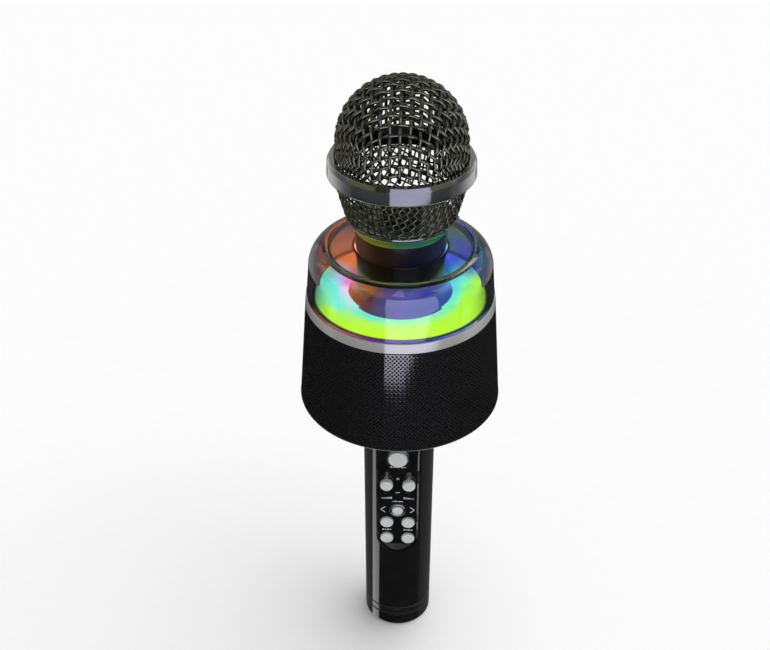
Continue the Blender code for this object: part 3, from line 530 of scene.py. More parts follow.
# ---- Button panel ------------------------------------------------------------------------------
# Moulded insert, flush with the handle at its rim, with a flat polished face sunk into it. It has
# a hole for each button and a slot for each slider.
panel = extruded_window("button_panel_moulding", panel_high.x, panel_low.z, panel_high.z,
                        0.0108, 0.018, end=PANEL_END - panel_gap)
outline = [(0.0, 0.136), (handle_r, 0.136), (handle_r, 0.040), (0.0, 0.040)]
skin = turn_piece("panel_skin", outline, 192)
cut_with(panel, skin, "INTERSECT")
face_low = 0.0522
face_high = 0.1222
face_half = 0.0087
depth = 0.005
recess = box_piece("panel_recess", (-face_half, -PANEL_FACE - depth, face_low),
                   (face_half, -PANEL_FACE, face_high))
bpy.ops.object.mode_set(mode="EDIT")
select_where(lambda place: place.y < -PANEL_FACE - depth / 2.0)
flare = 1.33 * depth
grow_x = (face_half + flare) / face_half
grow_z = 1.0 + 2.0 * depth / (face_high - face_low)
bpy.ops.transform.resize(value=(grow_x, 1.0, grow_z),
                         center_override=(0.0, -PANEL_FACE, (face_low + face_high) / 2.0))
bpy.ops.object.mode_set(mode="OBJECT")
cut_with(panel, recess)
button_names = ("top_button", "power_button", "previous_button", "next_button", "mode_button",
                "light_button")
FLANGE = 0.0006


def half_width(node):
    """Return half the width of a node's box, which is the radius of a round piece."""
    low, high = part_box(node)
    return (high.x - low.x) / 2.0


for name in button_names:
    hole_r = half_width(name) - FLANGE + 0.00025
    outline = [(0.0, 0.0165), (hole_r, 0.0165), (hole_r, 0.009), (0.0, 0.009)]
    cut_with(panel, aim_piece(turn_piece("hole_cutter", outline, 48), *middle_of(name)))
SLOT_WIDTH = 0.0022
SLOT_LENGTH = 0.0130
for name in ("volume_knob", "echo_knob"):
    slot_x, middle = middle_of(name)
    slot = extruded_window("slot_cutter", SLOT_WIDTH / 2.0, middle - SLOT_LENGTH / 2.0,
                           middle + SLOT_LENGTH / 2.0, 0.009, 0.0165, SLOT_WIDTH / 2.0, 32)
    slot.location.x = slot_x
    bpy.context.view_layer.update()
    cut_with(panel, slot)
soften(panel, 0.00012, 2, 25.0)

panel_black = surfaced("panel_black", (22, 22, 22), 0.06, (20, 20, 20), (25, 25, 25),
                       (0.045, 0.12), 1500.0, 2e-7, wear=(110, 110, 112))
place_piece(panel, panel_black, "control_panel", angle=25.0)

# ---- Panel marks -------------------------------------------------------------------------------
# White ink signs, screened onto the face: more and less, back and forward, and rows of small bars
# and dots that tell the other controls apart. None of them is a letter.
INK = 0.00003
signs = []


def ink_bar(x, z, width, height, turn=0.0):
    """Lay one thin bar of ink on the panel's face, its ends softened."""
    bar = box_piece("ink_bar", (-width / 2.0, -INK / 2.0, -height / 2.0),
                    (width / 2.0, INK / 2.0, height / 2.0))
    bar.rotation_euler = (0.0, turn, 0.0)
    bar.location = (x, -PANEL_FACE - INK / 2.0 - 0.00001, z)
    bpy.ops.object.transform_apply()
    signs.append(bar)


line = 0.00034
slide_x, slide_z = middle_of("echo_knob")
power_z = middle_of("power_button")[1]
pair_x, pair_z = middle_of("next_button")
ink_bar(0.0, slide_z + 0.0024, 0.0015, line)
ink_bar(0.0, slide_z + 0.0024, line, 0.0015)
ink_bar(0.0, slide_z - 0.0059, 0.0018, line)
for side in (-1.0, 1.0):
    for way in (-1.0, 1.0):
        lean = side * way * math.radians(40.0)
        ink_bar(side * 0.0066, power_z - 0.0001 + way * 0.00085, 0.0026, line, lean)
    for step in range(5):
        ramp_high = 0.0004 + 0.00018 * (step if side < 0.0 else 4 - step)
        ramp_x = side * slide_x + (step - 2) * 0.0010
        ink_bar(ramp_x, slide_z - 0.0097 + ramp_high / 2.0, 0.0006, ramp_high)
    for step in range(4):
        dash = 0.0005 if step % 2 else 0.0008
        ink_bar(side * pair_x + (step - 1.5) * 0.0011, pair_z - 0.0050, 0.0007, dash)
for step in range(6):
    ink_bar((step - 2.5) * 0.0012, slide_z + 0.0093, 0.0008, 0.0004 if step % 2 else 0.0007)
for step in range(5):
    ink_bar((step - 2.0) * 0.0010, power_z + 0.0050, 0.0006, 0.0007 if step % 2 else 0.0004)
bpy.ops.object.select_all(action="DESELECT")
for bar in signs:
    bar.select_set(True)
bpy.context.view_layer.objects.active = signs[0]
bpy.ops.object.join()
signs[0].name = "panel_marks"
soften(signs[0], 0.00001, 1, 60.0)
mark_ink = surfaced("mark_ink", (220, 222, 226), 0.5, (212, 214, 220), (232, 233, 236), (0.4, 0.6),
                    6000.0, 2e-6)
place_piece(signs[0], mark_ink)

# ---- Buttons and sliders -----------------------------------------------------------------------
# Pale grey caps with a crowned face and a retaining flange behind the panel. The two slider knobs
# are the same caps on a stem that stands in its slot.
button_grey = surfaced("button_grey", (216, 218, 217), 0.42, (212, 214, 213), (221, 223, 222),
                       (0.36, 0.5), 5000.0, 3e-6, wear=(232, 233, 231))
flange_front = 0.0105
flange_back = 0.0101
stem = 0.0009
stem_end = 0.0092
CAP_EDGE = 0.0005
for name in button_names:
    radius = half_width(name) - FLANGE
    front = -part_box(name)[0].y
    outline = [(0.0, front - 0.00012), (radius * 0.3, front - 0.0001)]
    outline += [(radius * 0.6, front - 0.00005), (radius - 0.0007, front)]
    outline += rounded(radius - CAP_EDGE, front - CAP_EDGE, CAP_EDGE, CAP_EDGE, 75.0, 0.0, 4)
    outline += [(radius, flange_front), (radius + FLANGE, flange_front)]
    outline += [(radius + FLANGE, flange_back), (stem, flange_back)]
    outline += [(stem, stem_end), (0.0, stem_end)]
    cap = aim_piece(turn_piece(name + "_cap", outline, 64), *middle_of(name))
    place_piece(cap, button_grey, name, body=name)
for name, body in (("volume_knob", "volume_slider"), ("echo_knob", "echo_slider")):
    radius = half_width(name)
    front = -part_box(name)[0].y
    back = PANEL_FACE + 0.0004
    stem_end = -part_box(name)[1].y
    outline = [(0.0, front - 0.00010), (radius * 0.5, front - 0.00006), (radius - 0.0007, front)]
    outline += rounded(radius - CAP_EDGE, front - CAP_EDGE, CAP_EDGE, CAP_EDGE, 75.0, 0.0, 4)
    outline += [(radius, back + 0.0002), (radius - 0.0002, back), (0.0008, back)]
    outline += [(0.0008, stem_end), (0.0, stem_end)]
    cap = aim_piece(turn_piece(name + "_cap", outline, 64), *middle_of(name))
    place_piece(cap, button_grey, name, body=body)

# ---- Bezels ------------------------------------------------------------------------------------
# Thin metal rings, plated in dark chrome, round the two central buttons. Each is glued onto the
# panel's face, with its rounded crown outwards.
bright_chrome = surfaced("bright_chrome", (100, 102, 106), 0.12, (94, 96, 100), (108, 110, 113),
                         (0.08, 0.2), 3000.0, 4e-7, metallic=1.0)
for name, button in (("top_button_bezel", "top_button"), ("power_button_bezel", "power_button")):
    low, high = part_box(name)
    outer = half_width(name)
    clear = half_width(button) - FLANGE + 0.00035
    half = (outer - clear) / 2.0
    rise = high.y - low.y
    seat = -high.y
    outline = [(clear, seat)]
    outline += rounded(clear + half, seat + rise - half, half, half, 180.0, 0.0, 8)
    outline += [(outer, seat)]
    bezel = aim_piece(turn_piece(name + "_ring", outline, 64), *middle_of(name))
    place_piece(bezel, bright_chrome, name)

# ---- Drum grille -------------------------------------------------------------------------------
# Thin steel sheet, punched all over with small staggered holes, rolled into a tapered sleeve. A
# black cloth liner behind it keeps the speaker out of sight.
drum_low, drum_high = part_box("drum_grille")
drum_r_low = drum_high.x
SHEET = 0.0005
BRIDGE = 0.00042
TAPER = (0.0423 - 0.03858) / (0.1804 - 0.1344)
drum_r_high = drum_r_low - TAPER * (drum_high.z - drum_low.z)
COLUMNS = 150
ROWS = 25
bpy.ops.object.select_all(action="DESELECT")
bpy.ops.mesh.primitive_circle_add(vertices=COLUMNS, radius=drum_r_low,
                                  location=(0.0, 0.0, drum_low.z))
drum = bpy.context.object
drum.name = "drum_grille_punched"
bpy.ops.object.transform_apply()
bpy.ops.object.mode_set(mode="EDIT")
bpy.ops.mesh.select_all(action="SELECT")
radius = drum_r_low
height = drum_low.z
rise = (drum_high.z - drum_low.z) / ROWS
for row in range(ROWS):
    height += rise
    bpy.ops.mesh.extrude_region_move(TRANSFORM_OT_translate={"value": (0.0, 0.0, rise)})
    grow = (radius - TAPER * rise) / radius
    bpy.ops.transform.resize(value=(grow, grow, 1.0), center_override=(0.0, 0.0, height))
    radius -= TAPER * rise
bpy.ops.mesh.select_all(action="SELECT")
bpy.ops.mesh.normals_make_consistent(inside=False)
bpy.ops.mesh.poke()
flat_enough = math.radians(60.0)
bpy.ops.mesh.tris_convert_to_quads(face_threshold=flat_enough, shape_threshold=flat_enough)
mesh = bmesh.from_edit_mesh(drum.data)
for face in mesh.faces:
    face.select = len(face.verts) == 4
bmesh.update_edit_mesh(drum.data)
bpy.ops.mesh.inset(thickness=BRIDGE / 2.0, use_individual=True, use_even_offset=True)
bpy.ops.mesh.delete(type="FACE")
bpy.ops.object.mode_set(mode="OBJECT")
solid = drum.modifiers.new("sheet", "SOLIDIFY")
solid.thickness = SHEET
solid.offset = -1.0
bpy.ops.object.modifier_apply(modifier=solid.name)

drum_black = surfaced("drum_black", (33, 33, 34), 0.05, (31, 31, 32), (35, 35, 36), (0.04, 0.06),
                      3000.0, 1e-7, Specular_IOR_Level=1.0)
place_piece(drum, drum_black, "drum_grille", even=False)

liner_top = drum_high.z - 0.0002
liner_foot = drum_low.z + 0.0002
outline = [(drum_r_high - 0.0009, liner_top), (drum_r_high - 0.0006, liner_top)]
outline += [(drum_r_low - 0.0006, liner_foot), (drum_r_low - 0.0009, liner_foot)]
liner = turn_piece("drum_liner_cloth", outline)
liner_cloth = surfaced("liner_cloth", (9, 9, 9), 0.9, (6, 6, 6), (12, 12, 12), (0.85, 0.95),
                       5000.0, 5e-6)
place_piece(liner, liner_cloth)

# ---- Drum base ---------------------------------------------------------------------------------
# Disc moulded in black plastic that closes the drum from below. It fits closely round the
# handle, and its rounded rim carries the foot of the punched sleeve.
base_low, base_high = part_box("drum_base")
rim_z = base_low.z + 0.0010
spigot = base_high.x - 0.0014
hole = handle_r + 0.0003
outline = [(hole, base_high.z), (0.0186, base_high.z), (0.0186, 0.1370), (spigot, 0.1370)]
outline += [(spigot, rim_z + 0.0001), (base_high.x - 0.0001, rim_z + 0.0001)]
outline += rounded(base_high.x - 0.0024, rim_z, 0.0024, 0.0009, 0.0, -90.0, 10)
outline += [(hole, base_low.z + 0.0001)]
base = turn_piece("drum_base_moulding", outline, 160)
place_piece(base, gloss_black, "drum_base")

# ---- Silver ring -------------------------------------------------------------------------------
# Bead-blasted aluminium ring between the drum and the dome, turned with a polished hairline on
# its edge, and laid on the drum's upper rim.
low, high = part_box("silver_ring")
inner_r = 0.0364
ring_top_r = 0.0382
ring_foot_r = high.x
outline = [(inner_r, high.z), (ring_top_r - 0.0004, high.z)]
outline += rounded(ring_top_r - 0.0004, high.z - 0.0004, 0.0004, 0.0004, 90.0, 5.0, 4)[1:]
outline += [(ring_foot_r, low.z + 0.0002), (ring_foot_r - 0.0002, low.z), (inner_r, low.z)]
ring = turn_piece("silver_ring_turned", outline, 160)
silver_metal = surfaced("silver_metal", (170, 170, 168), 0.12, (168, 168, 166), (173, 173, 171),
                        (0.09, 0.13), 5000.0, 2e-7, metallic=0.1, wear=(198, 198, 198),
                        Specular_IOR_Level=0.9)
place_piece(ring, silver_metal, "silver_ring")

# ---- Light tray --------------------------------------------------------------------------------
# Black moulded tray under the dome. Its rim stands round the lit floor, and painted glow on it,
# which changes colour on its way round, stands in for a thin line of the floor's light.
around_group, given, around_out = new_group(
    "way_round", (), (("Turn", "Float"), ("Radius", "Float"), ("Height", "Float")))
spot = add_node(around_group, "TexCoord").outputs["Object"]
axes = add_node(around_group, "SeparateXYZ", {0: spot}).outputs
backward = maths(around_group, "MULTIPLY", axes["Y"], -1.0)
turn = maths(around_group, "ARCTAN2", axes["X"], backward)
turn = maths(around_group, "MULTIPLY_ADD", turn, 0.5 / math.pi, 0.5)
flat = add_node(around_group, "CombineXYZ", {0: axes["X"], 1: axes["Y"]}).outputs[0]
distance = add_node(around_group, "VectorMath", {0: flat}, operation="LENGTH").outputs["Value"]
around_group.links.new(turn, around_out["Turn"])
around_group.links.new(distance, around_out["Radius"])
around_group.links.new(axes["Z"], around_out["Height"])


def colour_wheel(tree, turn, stops):
    """Blend colours round the axis; each stop is (degrees from the front, red, green, blue)."""
    made = add_node(tree, "ValToRGB", {"Fac": turn})
    wheel = made.color_ramp
    wheel.interpolation = "EASE"
    places = sorted(stops)
    while len(wheel.elements) < len(places):
        wheel.elements.new(1.0)
    for element, stop in zip(wheel.elements, places):
        element.position = stop[0] / 360.0 + 0.5
    for element, stop in zip(wheel.elements, places):
        element.color = tone(*stop[1:])
    return made.outputs["Color"]


low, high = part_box("light_tray")
tray_r = high.x
outline = [(0.0349, high.z), (tray_r - 0.0002, high.z), (tray_r, high.z - 0.0002), (tray_r, low.z)]
outline += [(0.0170, low.z), (0.0170, 0.1803), (0.0349, 0.1803)]
tray = turn_piece("light_tray_moulding", outline, 128)
tray_black_painted_glow = surfaced("tray_black_painted_glow", (12, 13, 12), 0.35, (9, 11, 9), (15, 16, 15), (0.3, 0.4),
                      3000.0, 1e-6)
tree, shader = insides(tray_black_painted_glow)
way = add_group(tree, around_group)
# Painted glow: the tray emits one set of colours inside its outer lip and another beyond it, in
# place of the lit floor's light.
painted_spill_glow = colour_wheel(tree, way["Turn"], (
    (-180, 90, 70, 40), (-155, 190, 80, 10), (-130, 215, 100, 0), (-105, 130, 60, 10),
    (-85, 30, 16, 8), (0, 10, 12, 16), (85, 8, 20, 26), (105, 20, 60, 130), (130, 0, 50, 210),
    (155, 70, 70, 130), (180, 90, 70, 40)))
shader["Emission Strength"].default_value = 3.5
outer_lip = ease(tree, way["Radius"], 0.0353, 0.0359)
RIM_SHADES = ((-180, 60, 50, 30), (-160, 150, 60, 10), (-130, 170, 70, 0), (-104, 60, 20, 10),
              (-90, 1, 12, 1), (90, 1, 12, 1), (104, 0, 30, 60), (130, 0, 30, 170),
              (160, 40, 50, 60), (180, 60, 50, 30))
painted_rim_glow = colour_wheel(tree, way["Turn"], RIM_SHADES)
tree.links.new(blend(tree, outer_lip, painted_rim_glow, painted_spill_glow), shader["Emission Color"])
place_piece(tray, tray_black_painted_glow, "light_tray")

# ---- Lit floor ---------------------------------------------------------------------------------
# Ring of milky acrylic over the lamps. It glows lime in front, mint and pink on the left, and blue
# and teal behind, and paler towards the neck.
low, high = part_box("light_floor")
outline = [(0.0211, high.z), (high.x - 0.0003, high.z), (high.x, high.z - 0.0003), (high.x, low.z)]
outline += [(0.0211, low.z)]
glow_disc = turn_piece("light_floor_acrylic", outline, 128)
glow_floor = start_finish("glow_floor", tone(20, 24, 18), 0.25)
tree, shader = insides(glow_floor)
way = add_group(tree, around_group)
near_neck = colour_wheel(tree, way["Turn"], (
    (-180, 60, 80, 90), (-130, 200, 70, 50), (-105, 225, 100, 195), (-86, 235, 200, 245),
    (-70, 190, 225, 235), (-35, 90, 235, 215), (0, 130, 235, 165), (30, 130, 235, 165),
    (60, 110, 240, 175), (75, 80, 235, 215), (105, 50, 200, 210), (135, 10, 30, 150),
    (180, 60, 80, 90)))
middle = colour_wheel(tree, way["Turn"], (
    (-180, 55, 110, 100), (-135, 235, 110, 5), (-108, 140, 180, 225), (-90, 90, 235, 225),
    (-65, 110, 240, 215), (-45, 160, 245, 110), (-25, 180, 250, 55), (60, 175, 250, 40),
    (80, 165, 250, 25), (95, 120, 240, 120), (108, 70, 225, 195), (140, 20, 55, 215),
    (180, 55, 110, 100)))
at_rim = colour_wheel(tree, way["Turn"], (
    (-180, 50, 110, 70), (-135, 230, 100, 0), (-108, 60, 185, 165), (-90, 90, 220, 190),
    (-74, 120, 240, 140), (-60, 175, 250, 20), (0, 192, 252, 20), (75, 170, 248, 20),
    (100, 160, 248, 15), (118, 45, 150, 155), (140, 25, 70, 230), (180, 50, 110, 70)))
inner_share = ease(tree, way["Radius"], 0.0222, 0.0268)
outer_share = ease(tree, way["Radius"], 0.0268, 0.0318)
colour = blend(tree, inner_share, near_neck, middle)
colour = blend(tree, outer_share, colour, at_rim)
dim = ease(tree, way["Radius"], 0.0341, 0.0346)
colour = blend(tree, dim, colour, colour_wheel(tree, way["Turn"], RIM_SHADES))
mottle = add_group(tree, grain_group, Scale=1500.0)["Patches"]
colour = blend(tree, maths(tree, "MULTIPLY", mottle, 0.06), colour, tone(235, 255, 235))
shader["Emission Strength"].default_value = 4.9
tree.links.new(colour, shader["Emission Color"])
place_piece(glow_disc, glow_floor, "light_floor")

# ---- Light column ------------------------------------------------------------------------------
# Hollow neck of tinted acrylic with a flared foot. Painted glow on it stands in for light that
# climbs it from the foot, orange on the left and blue on the right, and is faint by the height of
# the top plate.
low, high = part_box("light_column")
bore = 0.0158
outline = [(bore, high.z), (0.0181, high.z), (0.01795, 0.2070), (0.01775, 0.2065)]
outline += [(0.01765, 0.1960), (0.01770, 0.1927), (0.01795, 0.1905), (0.0186, 0.1879)]
outline += [(0.0196, 0.1862), (0.0208, 0.1850), (0.0208, 0.1840), (0.0204, 0.1840)]
outline += [(0.0204, low.z), (bore, low.z)]
column = turn_piece("light_column_acrylic", outline, 128)
glow_column = surfaced("glow_column", (8, 8, 10), 0.08, (7, 7, 9), (10, 10, 12), (0.16, 0.24),
                       1500.0, 3e-7, Specular_IOR_Level=0.3)
tree, shader = insides(glow_column)
way = add_group(tree, around_group)
# Painted glow colours, round the foot and higher up, fading out towards the top plate.
foot_glow = colour_wheel(tree, way["Turn"], (
    (-180, 30, 70, 70), (-130, 150, 50, 30), (-75, 190, 80, 10), (-58, 140, 70, 30),
    (-40, 95, 50, 60), (-20, 70, 70, 130), (0, 75, 80, 170), (40, 55, 75, 170), (62, 30, 80, 170),
    (78, 40, 60, 185), (120, 15, 35, 140), (180, 30, 70, 70)))
upper_glow = colour_wheel(tree, way["Turn"], (
    (-180, 10, 30, 30), (-130, 60, 20, 30), (-70, 150, 75, 10), (-40, 172, 94, 16),
    (-26, 125, 72, 90), (-15, 90, 70, 150), (10, 78, 80, 180), (40, 46, 45, 170),
    (75, 30, 50, 150), (120, 10, 20, 60), (180, 10, 30, 30)))
climbed = ease(tree, way["Height"], 0.1900, 0.1925)
glow = blend(tree, climbed, foot_glow, upper_glow)
fading = ease(tree, way["Height"], 0.1935, 0.1985)
faint = colour_wheel(tree, way["Turn"], (
    (-180, 4, 8, 8), (-60, 30, 14, 2), (-20, 9, 4, 2), (20, 2, 2, 10), (60, 2, 5, 22),
    (180, 4, 8, 8)))
glow = blend(tree, fading, glow, faint)
tree.links.new(glow, shader["Emission Color"])
shader["Emission Strength"].default_value = 3.8
place_piece(column, glow_column, "light_column")

# ---- Dome --------------------------------------------------------------------------------------
# Smoked clear shell, blown thin, with a rounded shoulder and a lip that holds the top plate.
# Painted shade darkens its polished wall towards its outline, and painted glow on its inner wall
# and a painted glint round its foot stand in for the lit floor's light.
low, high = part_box("light_dome")
foot_r = high.x
shoulder_r = 0.0368
round_r = 0.00755
round_z = 0.00927
wall = 0.0016
ACRYLIC_IOR = 1.46
centre_r = shoulder_r - round_r
centre_z = high.z - round_z
plate_low, plate_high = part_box("dome_top_plate")
lip = plate_high.x + 0.0003
outline = rounded(centre_r, centre_z, round_r, round_z, 0.0, 90.0, 14)
outline += [(lip, high.z), (lip, high.z - 0.0016), (lip - 0.0014, high.z - 0.0016)]
outline += [(lip - 0.0014, high.z - 0.0028), (centre_r, high.z - 0.0028)]
outline += rounded(centre_r, centre_z, round_r - wall, round_z - wall, 82.0, 0.0, 12)[1:]
outline += [(foot_r - wall, low.z), (foot_r, low.z)]
dome = turn_piece("light_dome_shell", outline, 160)
smoked_clear = start_finish("smoked_clear", tone(130, 129, 128), 0.02)
tree, shader = insides(smoked_clear)
shader["Transmission Weight"].default_value = 1.0
shader["IOR"].default_value = ACRYLIC_IOR
smoke = add_group(tree, grain_group, Scale=1500.0)["Patches"]
tint = blend(tree, smoke, tone(128, 127, 126), tone(132, 131, 130))
# Painted shade: the tint turns near black where the wall turns edge-on.
facing = add_node(tree, "LayerWeight", {"Blend": 0.5}).outputs["Facing"]
painted_outline_shade = ease(tree, facing, 0.38, 0.72)
tree.links.new(blend(tree, painted_outline_shade, tint, tone(18, 18, 18)), shader["Base Color"])
way = add_group(tree, around_group)
# Painted glow on the inner wall, below the lip, in colours that stand in for the lit floor's light.
wall_low = colour_wheel(tree, way["Turn"], (
    (-180, 60, 50, 30), (-160, 240, 110, 20), (-128, 255, 130, 0), (-112, 150, 40, 10),
    (-100, 0, 0, 0), (100, 0, 0, 0), (112, 0, 90, 160), (135, 0, 50, 255), (158, 60, 170, 60),
    (180, 60, 50, 30)))
wall_high = colour_wheel(tree, way["Turn"], (
    (-180, 20, 20, 24), (-150, 90, 50, 60), (-130, 190, 70, 110), (-112, 120, 60, 140),
    (-98, 0, 0, 0), (98, 0, 0, 0), (112, 0, 150, 80), (140, 60, 150, 50), (160, 50, 110, 110),
    (180, 20, 20, 24)))
up_wall = ease(tree, way["Height"], 0.1880, 0.1985)
inner_face = ease(tree, way["Radius"], 0.0368, 0.0364)
below_lip = ease(tree, way["Height"], 0.1965, 0.1992, 1.0, 0.0)
inner_face = maths(tree, "MULTIPLY", inner_face, below_lip)
painted_wall_glow = blend(tree, inner_face, (0.0, 0.0, 0.0, 1.0), blend(tree, up_wall, wall_low, wall_high))
# Painted glint: a thin coloured line round the outside of the foot, in place of the floor's light.
painted_glint_colours = colour_wheel(tree, way["Turn"], (
    (-180, 6, 8, 8), (-72, 10, 6, 4), (-52, 100, 50, 26), (-32, 110, 40, 50), (-12, 66, 30, 100),
    (8, 26, 22, 110), (34, 18, 40, 115), (55, 28, 76, 96), (75, 5, 8, 10), (180, 6, 8, 8)))
painted_foot_glint = ease(tree, way["Height"], low.z + 0.0009, low.z + 0.0013, 1.0, 0.0)
painted_foot_glint = maths(tree, "MULTIPLY", painted_foot_glint, ease(tree, way["Radius"], 0.0368, 0.0372))
tree.links.new(blend(tree, painted_foot_glint, painted_wall_glow, painted_glint_colours), shader["Emission Color"])
shader["Emission Strength"].default_value = 1.6
place_piece(dome, smoked_clear, "light_dome")

# ---- Top plate ---------------------------------------------------------------------------------
# Darker smoked disc, cut from acrylic sheet and dropped into the dome's opening round the neck.
# Its tint is painted near black round its hole, as painted shade.
plate_hole = 0.0183
outline = [(plate_hole, plate_high.z), (plate_high.x - 0.0003, plate_high.z)]
outline += [(plate_high.x, plate_high.z - 0.0003), (plate_high.x, plate_low.z)]
outline += [(plate_hole, plate_low.z)]
plate = turn_piece("dome_top_plate_disc", outline, 128)
smoked_dark = start_finish("smoked_dark", tone(110, 110, 108), 0.04)
tree, shader = insides(smoked_dark)
shader["Transmission Weight"].default_value = 1.0
shader["IOR"].default_value = ACRYLIC_IOR
smoke = add_group(tree, grain_group, Scale=1500.0)["Patches"]
# Painted shade: near black at the hole, easing to the smoked tint further out.
painted_hole_shade = ease(tree, add_group(tree, around_group)["Radius"], 0.0186, 0.0198)
tint = blend(tree, smoke, tone(118, 117, 114), tone(124, 123, 120))
tree.links.new(blend(tree, painted_hole_shade, tone(5, 5, 5), tint), shader["Base Color"])
place_piece(plate, smoked_dark, "dome_top_plate")

# ---- Neck collar -------------------------------------------------------------------------------
# Black plastic collar on top of the neck, which the head screws onto. Painted glow over it stands
# in for the light that leaves the neck and lands on its chamfer.
low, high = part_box("neck_collar")
outline = [(bore, high.z), (high.x - 0.0002, high.z), (high.x, high.z - 0.0002), (high.x, 0.2166)]
outline += [(0.0181, low.z), (bore, low.z)]
collar = turn_piece("neck_collar_turned", outline, 128)
collar_painted_glow = surfaced("collar_painted_glow", (12, 12, 12), 0.15, (10, 10, 10), (15, 15, 15), (0.1, 0.2),
                      1500.0, 3e-7)
tree, shader = insides(collar_painted_glow)
way = add_group(tree, around_group)
painted_neck_light = colour_wheel(tree, way["Turn"], (
    (-180, 10, 60, 40), (-110, 90, 40, 10), (-60, 150, 140, 0), (-25, 120, 125, 10),
    (0, 50, 115, 80), (25, 30, 110, 110), (60, 30, 120, 60), (100, 20, 50, 90), (180, 10, 60, 40)))
# Painted glow: colours round the collar that stand in for the neck's light.
tree.links.new(painted_neck_light, shader["Emission Color"])
shader["Emission Strength"].default_value = 0.5
place_piece(collar, collar_painted_glow, "neck_collar")

# ---- Grille base -------------------------------------------------------------------------------
# Foot of the head, cast and plated in black chrome: a rolled rim that clamps the woven bowl, and
# a floor with the capsule's socket.
low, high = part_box("grille_base")
rim_r = high.x
roll = 0.0011
rim_z = 0.2190
socket_r = 0.0083
outline = [(socket_r, 0.2195), (0.0180, 0.2195)]
outline += rounded(rim_r - roll, rim_z, roll, roll, 90.0, -90.0, 12)
outline += [(0.0155, 0.2179), (0.0155, low.z), (socket_r, low.z)]
foot_ring = turn_piece("grille_base_ring", outline, 128)
black_chrome = surfaced("black_chrome", (90, 91, 94), 0.1, (84, 85, 88), (92, 93, 96),
                        (0.07, 0.13), 2500.0, 2e-7, metallic=1.0, wear=(150, 150, 148))
tree, shader = insides(black_chrome)
# Painted sheen: the plating colour is lightened to near white where the surface turns edge-on, in
# place of a reflection; plated carries it.
facing = add_node(tree, "LayerWeight", {"Blend": 0.5}).outputs["Facing"]
plating = shader["Base Color"].links[0].from_socket
painted_sheen = ease(tree, facing, 0.35, 0.7)
plated = blend(tree, painted_sheen, plating, tone(205, 205, 203))
way = add_group(tree, around_group)
# Painted shade: the inside of the grille band, within the head, is painted near black.
painted_inner_shade = maths(tree, "MULTIPLY", ease(tree, way["Height"], 0.2240, 0.2250),
                   ease(tree, way["Radius"], 0.0254, 0.0257, 1.0, 0.0))
tree.links.new(blend(tree, painted_inner_shade, plated, tone(14, 14, 15)), shader["Base Color"])
place_piece(foot_ring, black_chrome, "grille_base")

# ---- Woven bowl and dome -----------------------------------------------------------------------
# The head is two pressings of plain-woven steel wire. In the dome every wire keeps its pitch and
# the crossings shear. The bowl is the rim of a flat piece of net, folded up into a steep wall.
SAMPLES = 6
STEP = 1e-6


def along_profile(profile, length):
    """Return (radius, height) at a length along a profile of closely spaced points."""
    run = 0.0
    for (r_near, z_near), (r_far, z_far) in zip(profile, profile[1:]):
        step = math.hypot(r_far - r_near, z_far - z_near)
        if run + step >= length:
            share = (length - run) / step
            return r_near + (r_far - r_near) * share, z_near + (z_far - z_near) * share
        run += step
    extra = length - run
    (r_near, z_near), (r_far, z_far) = profile[-2:]
    step = math.hypot(r_far - r_near, z_far - z_near)
    return r_far + (r_far - r_near) * extra / step, z_far + (z_far - z_near) * extra / step


def run_length(profile):
    """Return the whole length of a profile."""
    return sum(math.hypot(b[0] - a[0], b[1] - a[1]) for a, b in zip(profile, profile[1:]))


def on_pressing(profile, length, turn):
    """Return the point of a pressing at a length from its middle and an angle round the axis."""
    radius, height = along_profile(profile, max(length, 0.0))
    return Vector((radius * math.cos(turn), radius * math.sin(turn), height))


def next_crossing(profile, pitch, first, second, corner):
    """Find the crossing one pitch from two others, by Newton steps over (length, turn)."""
    length = first[0] + second[0] - corner[0]
    place = first[2] + second[2] - corner[2]
    turn = math.atan2(place.y, place.x)
    for _ in range(12):
        here = on_pressing(profile, length, turn)
        miss_a = (here - first[2]).length - pitch
        miss_b = (here - second[2]).length - pitch
        if abs(miss_a) + abs(miss_b) < 1e-8:
            break
        longer = on_pressing(profile, length + STEP, turn)
        turned = on_pressing(profile, length, turn + STEP * 40.0)
        a_length = ((longer - first[2]).length - pitch - miss_a) / STEP
        b_length = ((longer - second[2]).length - pitch - miss_b) / STEP
        a_turn = ((turned - first[2]).length - pitch - miss_a) / (STEP * 40.0)
        b_turn = ((turned - second[2]).length - pitch - miss_b) / (STEP * 40.0)
        scale = a_length * b_turn - a_turn * b_length
        if abs(scale) < 1e-12:
            break
        length -= (miss_a * b_turn - a_turn * miss_b) / scale
        turn -= (a_length * miss_b - miss_a * b_length) / scale
    return length, turn, on_pressing(profile, length, turn)


